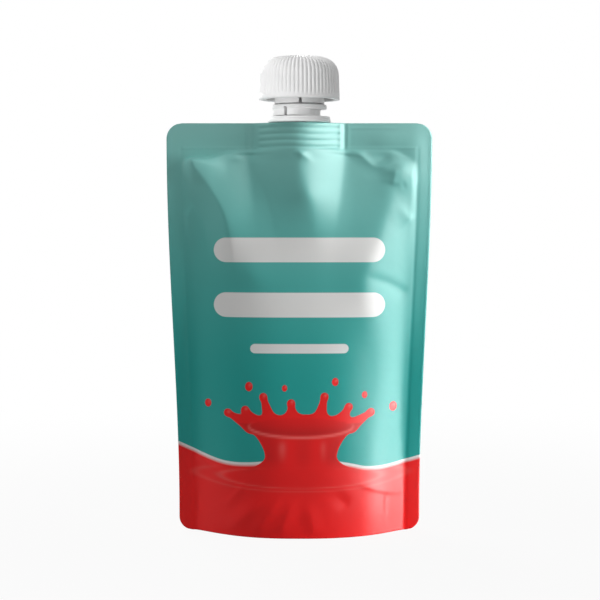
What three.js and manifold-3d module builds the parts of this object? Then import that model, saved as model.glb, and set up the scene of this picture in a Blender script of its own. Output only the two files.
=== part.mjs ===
// Stand-up liquid pouch with a welded spout, a tamper band and a ribbed screw cap.
// Millimetres, +Z up. The origin is the middle of the base, and the front panel faces -Y.
import * as THREE from "three";
import { mergeVertices } from "three/addons/utils/BufferGeometryUtils.js";
import Module from "manifold-3d";

const wasm = await Module();
wasm.setup();
const { lerp, smoothstep } = THREE.MathUtils;

// Film pack
const POUCH_WIDTH = 109; // across the flat top
const BASE_WIDTH = 99.6; // across the base, drawn in by the bulge
const POUCH_HEIGHT = 168;
const SIDE_SEAL = 6;
const TOP_SEAL = 10.6;
const SEAL_THICKNESS = 0.6;
const TOP_CORNER_RADIUS = 6.4;
const BASE_CORNER_RADIUS = 5.6;
const TAPER_START = 10; // heights between which the side edges draw in
const TAPER_END = 158;
const BELLY_DEPTH = 40; // front to back near the base
const BELLY_POWER = 0.62; // how early the bulge fills out below the top seal
const BASE_TUCK = 1.4; // how far the panels draw in again at the bottom edge
const BASE_TUCK_HEIGHT = 13;
const BASE_FLAT = 13; // half of the straight middle of the bottom edge
const BASE_SHAPE_HEIGHT = 48; // height at which the base's squarer outline is gone

// Folds of the panels
const SHOULDER_FOLD = 2.7; // ridge from each top corner down to the belly
const SHOULDER_FOLD_END = 92; // height where that ridge has run out
const SHOULDER_FOLD_INNER = 25; // its distance from the middle there
const SHOULDER_FOLD_CREST = 2.2; // rounding of the ridge
const SHOULDER_FOLD_BEND = 0.6; // below 1 it leaves the corner flat and then steepens
const KEEL_SPREAD = 0.14; // how fast the ridge under the spout widens downwards
const FAN_FOLD = 0.7; // height of the folds that fan out to the bottom edge
const FAN_PITCH = 11;
const FAN_HALF_WIDTH = 30;
const FAN_PEAK = 9; // height where they stand out most
const FAN_TOP = 30;
const FAN_HUB = 62; // height that they point to

// Base gusset
const GUSSET_SEAL_SIDE = 32; // height of the curved base seal at the side seals
const GUSSET_SEAL_MIDDLE = 3.6; // and at the middle of the panel
const GUSSET_SEAL_POWER = 2.4; // how late its curve turns up
const GUSSET_TIP = 2.6; // from the side seal to the end of the open fold
const GUSSET_SAG = 10; // how far the gusset would hang under its seal if nothing held it
const GUSSET_SAG_POWER = 1.5; // how fast that hang is lost towards the corners
const SKIRT_WALL = 0.9;

// Spout
const BORE_RADIUS = 5.9;
const BOAT_LENGTH = 36;
const BOAT_THICKNESS = 13.8;
const BOAT_CREST = 6; // rounding of the boat's middle
const BOAT_TOP_MARGIN = 1.2; // film above the boat
const BOAT_RIB_HEIGHT = 0.4;
const BOAT_RIB_COUNT = 4;
const BOAT_RIB_SHARE = 0.45; // of the ribs' pitch
const FILM_WALL = 0.8; // film over the boat's ribs
const FLANGE_RADIUS = 12.8;
const FLANGE_THICKNESS = 2.2;
const COLLAR_RADIUS = 8.6;
const BEAD_RADIUS = 9.3;
const BEAD_HEIGHT = 0.8;
const NECK_RADIUS = 7.8;
const MOUTH_CHAMFER = 0.5;

// Thread
const THREAD_LEAD = 4;
const THREAD_DEPTH = 1.1;
const THREAD_ROOT_WIDTH = 1.6;
const THREAD_CREST_WIDTH = 0.8;
const THREAD_BITE = 0.7; // radial overlap of the two threads
const THREAD_TOP_MARGIN = 2.2;
const SPOUT_THREAD_TURNS = 1.25;
const CAP_THREAD_TURNS = 1;
const THREAD_STEPS = 18; // in one turn
const THREAD_RAMP = 0.12; // of a turn, where a thread runs out

// Tamper band
const BAND_HEIGHT = 4.6;
const BAND_RING_HEIGHT = 2;
const BAND_RING_RADIUS = 11.2;
const BAND_SKIRT_RADIUS = 10.8;
const BAND_SLIT = 1.1;
const BAND_SLIT_OFFSET = -5.6; // across the front, from the middle
const BAND_SKIRT_END = 1; // the skirt covers the side left of this

// Cap
const CAP_RADIUS = 16.5;
const CAP_HEIGHT = 17.6;
const CAP_TAPER = 0.5; // on the radius, up to the shoulder
const CAP_SHOULDER_HEIGHT = 8.8;
const CAP_CROWN_RADIUS = 6.8;
const CAP_SHOULDER_POWER = 2.4; // squareness of the shoulder
const CAP_WALL = 1.3;
const CAP_TOP_WALL = 1.6;
const CAP_RIM_BAND = 2; // plain band above the rim
const CAP_FLUTE_COUNT = 60;
const CAP_FLUTE_DEPTH = 0.45;
const CAP_FLUTE_FADE = 0.6;
const CAP_TUBE_RADIUS = 10.2;
const CAP_TUBE_DROP = 1.8; // tube below the rim
const CAP_WEB_COUNT = 8;
const CAP_WEB_WALL = 0.9;
const CAP_WEB_DROP = 3; // web below the shoulder
const CAP_SLOT_COUNT = 4;
const CAP_SLOT_WIDTH = 1.2;
const CAP_SLOT_HEIGHT = 2.4;
const CAP_SLOT_TURN = 2; // degrees from straight ahead

// Liner and fits
const LINER_THICKNESS = 1.2;
const FIT_GAP = 0.3; // between pieces that touch
const OVERLAP = 0.4; // by which joined forms reach into each other
const ROUND_SEGMENTS = 32;

// Heights, worked out from the bottom up
const sealLine = POUCH_HEIGHT - TOP_SEAL;
const boatBottom = sealLine + FIT_GAP;
const boatTop = POUCH_HEIGHT - BOAT_TOP_MARGIN;
const flangeBottom = POUCH_HEIGHT + FIT_GAP;
const flangeTop = flangeBottom + FLANGE_THICKNESS;
const bandBottom = flangeTop + FIT_GAP;
const bandTop = bandBottom + BAND_HEIGHT;
const beadTop = bandTop - FIT_GAP;
const beadBottom = beadTop - BEAD_HEIGHT;
const tubeBottom = bandTop + FIT_GAP;
const capRim = tubeBottom + CAP_TUBE_DROP;
const capTop = capRim + CAP_HEIGHT;
const capCeiling = capTop - CAP_TOP_WALL;
const linerTop = capCeiling - FIT_GAP;
const linerBottom = linerTop - LINER_THICKNESS;
const mouth = linerBottom - FIT_GAP;

// Radii that follow from the fits
const threadCrest = NECK_RADIUS + THREAD_DEPTH;
const capBore = threadCrest + FIT_GAP;
const capThreadCrest = threadCrest - THREAD_BITE;
const bandBore = COLLAR_RADIUS + FIT_GAP;
const bandBeadBore = BEAD_RADIUS + FIT_GAP;
const linerRadius = capBore - FIT_GAP;
const boatHalf = BOAT_LENGTH / 2;
const boatRibHalfDepth = BOAT_THICKNESS / 2 + BOAT_RIB_HEIGHT;
const pocketHalfDepth = boatRibHalfDepth + FIT_GAP;
const pocketHalf = boatHalf + FIT_GAP * 2;
const filmHalfDepth = pocketHalfDepth + FILM_WALL;
const filmHalf = pocketHalf + FILM_WALL * 2;

// Materials, one for each sub-part
function finish(color, roughness) {
  return new THREE.MeshStandardMaterial({ color, roughness, metalness: 0 });
}

// A closed geometry as a solid that can be cut and joined.
function solidFrom(geometry) {
  const bare = geometry.clone();
  bare.deleteAttribute("normal");
  bare.deleteAttribute("uv");
  const merged = mergeVertices(bare, 1e-4);
  return new wasm.Manifold(
    new wasm.Mesh({
      numProp: 3,
      vertProperties: merged.attributes.position.array,
      triVerts: new Uint32Array(merged.index.array),
    }),
  );
}

// A named mesh from a finished solid.
function meshFrom(name, solid, material) {
  const cut = solid.getMesh();
  const geometry = new THREE.BufferGeometry();
  geometry.setAttribute("position", new THREE.BufferAttribute(cut.vertProperties, 3));
  geometry.setIndex(new THREE.BufferAttribute(cut.triVerts, 1));
  const mesh = new THREE.Mesh(geometry, material);
  geometry.computeVertexNormals();
  mesh.name = name;
  return mesh;
}

// Skins a run of closed loops that turn anticlockwise about their path, and closes both ends.
// Points i and n - 1 - i of a loop lie opposite each other, so strips between them close an end.
function loft(loops) {
  const count = loops[0].length;
  const index = [];
  for (let k = 0; k < loops.length - 1; k++) {
    for (let i = 0; i < count; i++) {
      const a = k * count + i;
      const b = k * count + ((i + 1) % count);
      index.push(a, b, b + count, a, b + count, a + count);
    }
  }
  const last = (loops.length - 1) * count;
  for (let i = 0; i < count / 2 - 1; i++) {
    const [p, q, r, s] = [i, i + 1, count - 2 - i, count - 1 - i];
    index.push(p, r, q, p, s, r);
    index.push(last + p, last + q, last + r, last + p, last + r, last + s);
  }
  const geometry = new THREE.BufferGeometry().setFromPoints(loops.flat());
  geometry.setIndex(index);
  return solidFrom(geometry);
}

// A profile of [radius, height] pairs turned about Z. It runs up the outside.
function turned(profile, segments = ROUND_SEGMENTS) {
  const points = profile.map(([radius, height]) => new THREE.Vector2(radius, height));
  return solidFrom(new THREE.LatheGeometry(points, segments).rotateX(Math.PI / 2));
}

// A round rod about Z between two heights.
function rod(radius, bottom, top, segments = ROUND_SEGMENTS) {
  return turned([[0, bottom], [radius, bottom], [radius, top], [0, top]], segments);
}

// A box from its lowest and highest corners, turned about Z by an angle.
function block(low, high, angle = 0) {
  const size = high.map((value, i) => value - low[i]);
  const geometry = new THREE.BoxGeometry(...size);
  geometry.translate(...low.map((value, i) => value + size[i] / 2));
  return solidFrom(geometry.rotateZ(angle));
}

// Heights or places spread evenly from one value to another, both ends included.
function spread(from, to, steps) {
  return Array.from({ length: steps + 1 }, (_, i) => lerp(from, to, i / steps));
}

// The film pack

// Half of the flat outline's width at a height.
function halfWidth(z) {
  return lerp(BASE_WIDTH, POUCH_WIDTH, smoothstep(z, TAPER_START, TAPER_END)) / 2;
}

// Distance from the middle to the inner edge of the side seal.
function sealEdge(z) {
  return halfWidth(z) - SIDE_SEAL;
}

// A roof with a rounded crest: 1 at the middle, falling in straight slopes to 0 at the half length.
function roof(x, halfLength) {
  const fall = (reach) => Math.hypot(reach, BOAT_CREST) - BOAT_CREST;
  return Math.max(0, 1 - fall(x) / fall(halfLength));
}

// Half depth of the bulge at the middle of a panel.
function bellyHalf(z) {
  const filled = Math.max(0, 1 - z / sealLine) ** BELLY_POWER;
  const tuck = BASE_TUCK * Math.max(0, 1 - z / BASE_TUCK_HEIGHT) ** 2;
  return (BELLY_DEPTH / 2) * filled - tuck;
}

// Share of that bulge across a panel: an arch, squarer at the base, where the seals hold the corners flat.
function bellyAcross(x, z) {
  const edge = sealEdge(z);
  const arch = Math.max(0, 1 - (x / edge) ** 2);
  const square = smoothstep(edge - Math.abs(x), 0, edge - BASE_FLAT);
  return lerp(square, arch, smoothstep(z, 0, BASE_SHAPE_HEIGHT));
}

// The ridge under the spout, where the boat holds the film out further than the bulge.
function keel(x, z) {
  const below = Math.max(0, sealLine - z);
  const lack = filmHalfDepth - bellyHalf(Math.min(z, sealLine));
  const soft = (lack + Math.hypot(lack, 1)) / 2;
  return Math.min(soft, filmHalfDepth) * roof(x, filmHalf + KEEL_SPREAD * below);
}

// The ridge from a top corner: it leaves the corner, steepens and runs out on the belly.
function shoulderFold(x, z) {
  const run = (sealLine - z) / (sealLine - SHOULDER_FOLD_END);
  if (run <= 0 || run >= 1) return 0;
  const along = run ** SHOULDER_FOLD_BEND;
  const edge = sealEdge(z);
  const crest = lerp(sealEdge(sealLine), SHOULDER_FOLD_INNER, along);
  const away = Math.abs(x) - crest;
  const reach = away > 0 ? edge - crest : crest - boatHalf;
  const rounded = Math.hypot(away, SHOULDER_FOLD_CREST) - SHOULDER_FOLD_CREST;
  return SHOULDER_FOLD * Math.sin(Math.PI * along) * Math.max(0, 1 - rounded / reach);
}

// Shallow folds that fan out towards the bottom edge.
function fanFold(x, z) {
  const atEdge = (x * FAN_HUB) / (FAN_HUB - Math.min(z, FAN_TOP));
  const rise = smoothstep(z, 0, FAN_PEAK) - smoothstep(z, FAN_PEAK, FAN_TOP);
  const middle = 1 - smoothstep(Math.abs(atEdge), FAN_HALF_WIDTH / 2, FAN_HALF_WIDTH);
  return FAN_FOLD * rise * middle * Math.cos((2 * Math.PI * atEdge) / FAN_PITCH);
}

// Ridges that the boat's ribs press into the film.
function ribPrint(x, z) {
  const pitch = (boatTop - boatBottom) / BOAT_RIB_COUNT;
  const inside = z > sealLine && Math.abs(x) < filmHalf;
  return inside ? -BOAT_RIB_HEIGHT / 2 * (1 + Math.cos((2 * Math.PI * (z - boatBottom)) / pitch)) : 0;
}

// How far a panel stands out from the middle plane.
function panelDepth(x, z) {
  const seal = SEAL_THICKNESS / 2;
  if (Math.abs(x) >= sealEdge(z) - 1e-6) return seal;
  const boat = keel(x, z) + ribPrint(x, z) * roof(x, filmHalf);
  if (z >= sealLine) return seal + boat;
  const bulge = bellyHalf(z) * bellyAcross(x, z);
  return seal + bulge + boat + shoulderFold(x, z) + fanFold(x, z);
}

// Places across the panel: the seals' edges, the stretch beside the boat and the boat itself.
function columns(z) {
  const scale = sealEdge(z) / sealEdge(POUCH_HEIGHT);
  const outer = spread(sealEdge(POUCH_HEIGHT), filmHalf, 7).map((x) => x * scale);
  const inner = spread(filmHalf, 0, 4).slice(1).map((x) => x * scale);
  const half = [halfWidth(z), ...outer, ...inner];
  return [...half.map((x) => -x), ...half.slice(0, -1).reverse()];
}

// The closed loop round the pack at a height.
function packLoop(z) {
  const across = columns(z);
  const front = across.map((x) => new THREE.Vector3(x, -panelDepth(x, z), z));
  const back = across.map((x) => new THREE.Vector3(x, panelDepth(-x, z), z)).reverse();
  return [...front, ...back];
}

// What the rounded corner leaves outside, as a solid to cut away.
function cornerCut(side, top) {
  const radius = top ? TOP_CORNER_RADIUS : BASE_CORNER_RADIUS;
  const edge = halfWidth(top ? POUCH_HEIGHT : 0);
  const shape = new THREE.Shape();
  shape.moveTo(edge - radius, 0);
  shape.absarc(edge - radius, radius, radius, -Math.PI / 2, 0, false);
  shape.lineTo(edge + radius, radius);
  shape.lineTo(edge + radius, -radius);
  shape.lineTo(edge - radius, -radius);
  const geometry = new THREE.ExtrudeGeometry(shape, {
    depth: BELLY_DEPTH,
    bevelEnabled: false,
    curveSegments: 6,
  });
  geometry.translate(0, 0, -BELLY_DEPTH / 2).rotateX(Math.PI / 2);
  if (top) geometry.rotateX(Math.PI).translate(0, 0, POUCH_HEIGHT);
  if (side < 0) geometry.rotateZ(Math.PI);
  return solidFrom(geometry);
}

// Height of the curved base seal across the panel.
function gussetSeal(x) {
  const out = Math.min(1, Math.abs(x) / sealEdge(0));
  return lerp(GUSSET_SEAL_MIDDLE, GUSSET_SEAL_SIDE, out ** GUSSET_SEAL_POWER);
}

// The space under the gusset, which hangs between the two skirts and rests flat in the middle.
function gussetSpace() {
  const middle = panelDepth(0, 0);
  const half = sealEdge(0) - GUSSET_TIP;
  const floor = -GUSSET_SAG - SKIRT_WALL;
  const loops = spread(-half, half, 20).map((x) => {
    const width = Math.max(SEAL_THICKNESS / 2, panelDepth(x, 0) - SKIRT_WALL);
    const sag = GUSSET_SAG * (width / middle) ** GUSSET_SAG_POWER;
    const across = spread(-1, 1, 8);
    const under = across.map((q) => new THREE.Vector3(x, q * width, floor));
    const over = across.map(
      (q) => new THREE.Vector3(x, q * width, gussetSeal(x) - sag * (1 - q * q)),
    );
    return [...under, ...over.reverse()];
  });
  return loft(loops);
}

// A boat outline pulled up between two heights.
function boatBlock(halfLength, halfDepth, bottom, top) {
  const across = spread(-halfLength, halfLength, 10);
  const near = across.map((x) => new THREE.Vector2(x, -halfDepth * roof(x, halfLength)));
  const far = across.slice(1, -1).map((x) => new THREE.Vector2(x, halfDepth * roof(x, halfLength)));
  const shape = new THREE.Shape([...near, ...far.reverse()]);
  const geometry = new THREE.ExtrudeGeometry(shape, { depth: top - bottom, bevelEnabled: false });
  return solidFrom(geometry.translate(0, 0, bottom));
}

function makePouch() {
  const ribRows = BOAT_RIB_COUNT * 2;
  const rows = [
    ...spread(0, BASE_TUCK_HEIGHT, 4),
    ...spread(BASE_TUCK_HEIGHT, SHOULDER_FOLD_END, 11).slice(1),
    ...spread(SHOULDER_FOLD_END, sealLine, 14).slice(1),
    ...spread(boatBottom, boatTop, ribRows),
    POUCH_HEIGHT,
  ];
  let pack = loft(rows.map(packLoop));
  for (const side of [-1, 1]) {
    pack = pack.subtract(cornerCut(side, true)).subtract(cornerCut(side, false));
  }
  const pocketTop = POUCH_HEIGHT + FIT_GAP;
  const pocket = boatBlock(pocketHalf, pocketHalfDepth, boatBottom - FIT_GAP, pocketTop);
  return meshFrom("pouch", pack.subtract(gussetSpace()).subtract(pocket), finish(0x1f8a82, 0.42));
}

// A helical ridge between an inner and an outer radius, running out to the wall at both ends.
function thread({ wall, crest, start, turns, phase }) {
  const steps = Math.round(turns * THREAD_STEPS);
  const outward = Math.sign(crest - wall);
  const root = wall - outward * OVERLAP;
  const loops = spread(0, turns, steps).map((turn) => {
    const rise = Math.min(1, turn / THREAD_RAMP, (turns - turn) / THREAD_RAMP);
    const peak = lerp(wall - (outward * OVERLAP) / 2, crest, Math.max(0, rise));
    const angle = phase + turn * 2 * Math.PI;
    const height = start + turn * THREAD_LEAD;
    const at = (radius, offset) =>
      new THREE.Vector3(radius * Math.cos(angle), radius * Math.sin(angle), height + offset);
    const wide = THREAD_ROOT_WIDTH / 2;
    const narrow = THREAD_CREST_WIDTH / 2;
    return outward > 0
      ? [at(root, -wide), at(root, wide), at(peak, narrow), at(peak, -narrow)]
      : [at(peak, -narrow), at(peak, narrow), at(root, wide), at(root, -wide)];
  });
  return loft(loops);
}

const spoutThreadTop = mouth - THREAD_TOP_MARGIN;
const spoutThreadStart = spoutThreadTop - SPOUT_THREAD_TURNS * THREAD_LEAD;

function makeSpout() {
  const pitch = (boatTop - boatBottom) / BOAT_RIB_COUNT;
  let body = boatBlock(boatHalf, BOAT_THICKNESS / 2, boatBottom, boatTop);
  for (let i = 0; i < BOAT_RIB_COUNT; i++) {
    const middle = boatBottom + (i + 0.5) * pitch;
    const half = (pitch * BOAT_RIB_SHARE) / 2;
    body = body.add(boatBlock(boatHalf, boatRibHalfDepth, middle - half, middle + half));
  }
  const throat = BOAT_THICKNESS / 2;
  const neck = turned([
    [0, boatTop - pitch],
    [throat, boatTop - pitch],
    [throat, flangeBottom],
    [FLANGE_RADIUS, flangeBottom],
    [FLANGE_RADIUS, flangeTop],
    [COLLAR_RADIUS, flangeTop],
    [COLLAR_RADIUS, beadBottom - FIT_GAP],
    [BEAD_RADIUS, beadBottom],
    [BEAD_RADIUS, beadTop - FIT_GAP],
    [NECK_RADIUS, beadTop],
    [NECK_RADIUS, mouth - MOUTH_CHAMFER],
    [NECK_RADIUS - MOUTH_CHAMFER, mouth],
    [0, mouth],
  ]);
  const ridge = thread({
    wall: NECK_RADIUS,
    crest: threadCrest,
    start: spoutThreadStart,
    turns: SPOUT_THREAD_TURNS,
    phase: 0,
  });
  const bore = rod(BORE_RADIUS, boatBottom - OVERLAP, mouth + OVERLAP, 28);
  return meshFrom("spout", body.add(neck).add(ridge).subtract(bore), finish(0xf2f2f0, 0.4));
}

function makeTamperBand() {
  const ringBottom = bandTop - BAND_RING_HEIGHT;
  const lip = beadBottom - FIT_GAP * 2;
  const ring = turned([
    [bandBore, bandBottom],
    [BAND_SKIRT_RADIUS, bandBottom],
    [BAND_SKIRT_RADIUS, ringBottom],
    [BAND_RING_RADIUS, ringBottom + FIT_GAP],
    [BAND_RING_RADIUS, bandTop - FIT_GAP],
    [BAND_RING_RADIUS - FIT_GAP, bandTop],
    [bandBeadBore, bandTop],
    [bandBeadBore, lip],
    [bandBore, lip],
    [bandBore, bandBottom],
  ]);
  const far = BAND_RING_RADIUS + OVERLAP;
  const openHalf = block([BAND_SKIRT_END, -far, bandBottom - OVERLAP], [far, far, ringBottom]);
  const slitMiddle = BAND_SLIT_OFFSET;
  const slit = block(
    [slitMiddle - BAND_SLIT / 2, -far, bandBottom - OVERLAP],
    [slitMiddle + BAND_SLIT / 2, 0, ringBottom + BAND_RING_HEIGHT / 2],
  );
  return meshFrom("tamper_band", ring.subtract(openHalf).subtract(slit), finish(0xf2f2f0, 0.4));
}

function makeCapLiner() {
  return meshFrom("cap_liner", rod(linerRadius, linerBottom, linerTop, 36), finish(0xe6e6e2, 0.7));
}

// The cap's outside from the rim up: [radius, height, share of the flute's depth].
function capProfile() {
  const bandTopEdge = capRim + CAP_RIM_BAND;
  const shoulder = capTop - CAP_SHOULDER_HEIGHT;
  const shoulderRadius = CAP_RADIUS - CAP_TAPER;
  const wallRadius = (z) => lerp(CAP_RADIUS, shoulderRadius, (z - capRim) / (shoulder - capRim));
  const fluteStart = bandTopEdge + CAP_FLUTE_FADE;
  const wall = [
    [CAP_RADIUS, capRim, 0],
    [wallRadius(bandTopEdge), bandTopEdge, 0],
    [wallRadius(fluteStart), fluteStart, 1],
  ];
  const power = 2 / CAP_SHOULDER_POWER;
  const round = spread(0, Math.PI / 2, 5).map((angle) => [
    lerp(CAP_CROWN_RADIUS, shoulderRadius, Math.cos(angle) ** power),
    lerp(shoulder, capTop, Math.sin(angle) ** power),
    Math.sqrt(Math.cos(angle)),
  ]);
  return [...wall, ...round];
}

// The fluted outside as a solid: each flute is one point drawn in between two on the full radius.
function flutedDome() {
  const perFlute = 3;
  const count = CAP_FLUTE_COUNT * perFlute;
  const loops = capProfile().map(([radius, height, share]) =>
    Array.from({ length: count }, (_, i) => {
      const angle = (i / count) * 2 * Math.PI;
      const depth = i % perFlute === 0 ? CAP_FLUTE_DEPTH * share : 0;
      const reach = radius - depth;
      return new THREE.Vector3(reach * Math.cos(angle), reach * Math.sin(angle), height);
    }),
  );
  return loft(loops);
}

function makeCap() {
  const shoulder = capTop - CAP_SHOULDER_HEIGHT;
  const innerWall = CAP_RADIUS - CAP_TAPER - CAP_FLUTE_DEPTH - CAP_WALL;
  const innerRise = CAP_SHOULDER_HEIGHT - CAP_FLUTE_DEPTH - CAP_WALL - OVERLAP;
  const innerRound = spread(0, Math.PI / 2, 4).map((angle) => [
    lerp(CAP_TUBE_RADIUS, innerWall, Math.cos(angle)),
    shoulder + innerRise * Math.sin(angle),
  ]);
  let hollow = turned([
    [CAP_TUBE_RADIUS, capRim - OVERLAP],
    [innerWall, capRim - OVERLAP],
    ...innerRound,
    [CAP_TUBE_RADIUS, capRim - OVERLAP],
  ]);
  for (let i = 0; i < CAP_WEB_COUNT; i++) {
    const low = [CAP_TUBE_RADIUS - OVERLAP, -CAP_WEB_WALL / 2, shoulder - CAP_WEB_DROP];
    const high = [innerWall + OVERLAP, CAP_WEB_WALL / 2, capTop];
    hollow = hollow.subtract(block(low, high, (i / CAP_WEB_COUNT) * 2 * Math.PI));
  }
  const tube = turned([
    [capBore - OVERLAP, tubeBottom],
    [CAP_TUBE_RADIUS, tubeBottom],
    [CAP_TUBE_RADIUS, capRim + OVERLAP],
    [capBore - OVERLAP, capRim + OVERLAP],
    [capBore - OVERLAP, tubeBottom],
  ]);
  let cap = flutedDome().subtract(hollow).add(tube);
  cap = cap.subtract(rod(capBore, tubeBottom - OVERLAP, capCeiling));
  const ridge = thread({
    wall: capBore,
    crest: capThreadCrest,
    start: spoutThreadStart,
    turns: CAP_THREAD_TURNS,
    phase: Math.PI,
  });
  cap = cap.add(ridge);
  for (let i = 0; i < CAP_SLOT_COUNT; i++) {
    const low = [capBore - OVERLAP, -CAP_SLOT_WIDTH / 2, tubeBottom - OVERLAP];
    const high = [CAP_TUBE_RADIUS + OVERLAP, CAP_SLOT_WIDTH / 2, tubeBottom + CAP_SLOT_HEIGHT];
    const turn = THREE.MathUtils.degToRad(CAP_SLOT_TURN - 90) + (i / CAP_SLOT_COUNT) * 2 * Math.PI;
    cap = cap.subtract(block(low, high, turn));
  }
  return meshFrom("cap", cap, finish(0xf4f4f2, 0.38));
}

const part = new THREE.Group();
part.add(makePouch(), makeSpout(), makeTamperBand(), makeCapLiner(), makeCap());
export default part;
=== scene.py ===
"""Spouted liquid pouch: printed film pack, welded spout, tamper band, sealing disc and ribbed screw cap."""
import logging
from dataclasses import dataclass
from enum import Enum

import bmesh
import bpy
import numpy as np
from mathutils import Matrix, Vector


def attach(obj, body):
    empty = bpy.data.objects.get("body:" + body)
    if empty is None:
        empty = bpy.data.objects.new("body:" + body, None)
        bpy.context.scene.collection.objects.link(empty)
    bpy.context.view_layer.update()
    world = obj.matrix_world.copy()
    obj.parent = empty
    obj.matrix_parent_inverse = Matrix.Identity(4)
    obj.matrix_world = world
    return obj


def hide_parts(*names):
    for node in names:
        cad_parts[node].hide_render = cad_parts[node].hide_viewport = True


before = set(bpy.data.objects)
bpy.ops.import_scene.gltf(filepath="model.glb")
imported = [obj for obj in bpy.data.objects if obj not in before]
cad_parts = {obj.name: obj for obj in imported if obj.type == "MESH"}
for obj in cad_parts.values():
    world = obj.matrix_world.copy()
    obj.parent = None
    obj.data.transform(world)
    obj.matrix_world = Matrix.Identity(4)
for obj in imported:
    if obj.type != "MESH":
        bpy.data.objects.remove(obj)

logging.basicConfig(level=logging.INFO, format="%(message)s")
log = logging.getLogger("pouch")

MM = 0.001
TINY = 1e-6  # keeps a division from zero
TOUCH = 0.01  # mm within which a point counts as on a wall
WELD = 0.001  # mm within which points are joined
ROUND_SHARE = 0.45  # most of a stretch that the rounding of one corner takes
Array = np.ndarray
Profile = list[tuple[float, float]]


class Body(str, Enum):
    """Moving bodies of the frame."""

    PACK = "pack"
    CAP = "screw_cap"


class Slot(str, Enum):
    """Material slots of the record."""

    FILM = "printed_film"
    SPOUT = "spout_plastic"
    CAP = "cap_plastic"


class Lit(str, Enum):
    """What a lamp shines on."""

    FILM = "lit_film"
    PLASTIC = "lit_plastic"
    ALL = "lit_all"


class PrintField(str, Enum):
    """Numbers that the film's mesh keeps for its print."""

    WAVE = "wave"
    FADE = "fade"
    CROWN = "crown"
    SHADE = "shade"
    GLEAM = "gleam"
    BARS = "bars"


# Curves and fields


def smoothstep(value: Array, low: float | Array, high: float | Array) -> Array:
    """Gives a soft step from 0 at low to 1 at high: three squares less two cubes of the share between."""
    share = np.clip((value - low) / (high - low), 0.0, 1.0)
    return share * share * (3.0 - 2.0 * share)


def lerp(start: float | Array, end: float | Array, share: Array) -> Array:
    """Gives the value at a share of the way from start to end."""
    return start + (end - start) * share


def rounded(distance: Array, crest: float | Array) -> Array:
    """Gives a distance whose point at zero is rounded off: a hyperbola over the crest's radius."""
    return np.hypot(distance, crest) - crest


def bell(off: Array, width: float) -> Array:
    """Gives a bell curve: 1 in the middle, falling off over a width on both sides."""
    return np.exp(-((off / width) ** 2))


def smooth_path(points: tuple[tuple[float, float], ...], steps: int = 8) -> Array:
    """Runs a Catmull-Rom curve through points.

    Args:
        points: Two or more places.
        steps: Stretches between two neighbouring points.

    Returns:
        Places along the curve, one row each.
    """
    given = np.asarray(points, dtype=float)
    ends = np.vstack([2 * given[0] - given[1], given, 2 * given[-1] - given[-2]])
    share = np.linspace(0.0, 1.0, steps, endpoint=False)[:, None]
    runs = []
    for before, start, end, after in zip(ends, ends[1:], ends[2:], ends[3:]):
        pull = end - before
        bend = 2 * before - 5 * start + 4 * end - after
        twist = 3 * start - before - 3 * end + after
        runs.append(start + (pull * share + bend * share**2 + twist * share**3) / 2)
    return np.vstack([*runs, given[-1:]])


def path_distance(x: Array, z: Array, path: Array) -> tuple[Array, Array]:
    """Measures how far places lie from a path.

    Args:
        x: Places across.
        z: Places up.
        path: Points of the path, one row each.

    Returns:
        Signed distance, positive on the left of the path's direction, and the share of its length.
    """
    best = np.full(x.shape, np.inf)
    side = np.ones(x.shape)
    along = np.zeros(x.shape)
    count = len(path) - 1
    for index, (start, end) in enumerate(zip(path, path[1:])):
        run = end - start
        off_x = x - start[0]
        off_z = z - start[1]
        share = np.clip((off_x * run[0] + off_z * run[1]) / (run @ run), 0.0, 1.0)
        away = np.hypot(off_x - share * run[0], off_z - share * run[1])
        nearer = away < best
        best = np.where(nearer, away, best)
        side = np.where(nearer, np.sign(run[0] * off_z - run[1] * off_x), side)
        along = np.where(nearer, (index + share) / count, along)
    return best * side, along


@dataclass(frozen=True)
class Fold:
    """A crease of the film: a ridge, or a valley where the height is negative. Millimetres.

    Its cross-section falls from the rounded crest in a curve that flattens out at the reach of each side.
    """

    path: tuple[tuple[float, float], ...]
    height: float
    left: float
    right: float
    crest: float = 0.8
    start: float = 0.3
    end: float = 0.3
    power: float = 2.0  # 1 makes flat facets, more makes hollow flanks
    clear: float = 3.0  # width beside the side seals over which it rises

    def field(self, x: Array, z: Array) -> Array:
        """Gives the fold's height at places on the panel.

        Args:
            x: Places across.
            z: Places up.

        Returns:
            Height above the unfolded panel.
        """
        away, along = path_distance(x, z, smooth_path(self.path))
        reach = np.where(away > 0, self.left, self.right)
        fall = np.maximum(0.0, 1.0 - rounded(away, self.crest) / reach) ** self.power
        fade = smoothstep(along, 0.0, self.start) * smoothstep(1.0 - along, 0.0, self.end)
        return self.height * fall * fade


@dataclass(frozen=True)
class Swell:
    """A soft bump of the film, or a dent where the height is negative: a bell curve. Millimetres."""

    place: tuple[float, float]
    height: float
    across: float
    up: float
    turn: float = 0.0
    clear: float = 3.0  # width beside the side seals over which it rises

    def field(self, x: Array, z: Array) -> Array:
        """Gives the bump's height at places on the panel.

        Args:
            x: Places across.
            z: Places up.

        Returns:
            Height above the plain panel.
        """
        angle = np.radians(self.turn)
        off_x = x - self.place[0]
        off_z = z - self.place[1]
        long = (off_x * np.cos(angle) + off_z * np.sin(angle)) / self.across
        wide = (off_z * np.cos(angle) - off_x * np.sin(angle)) / self.up
        return self.height * bell(np.hypot(long, wide), 1.0)


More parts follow.
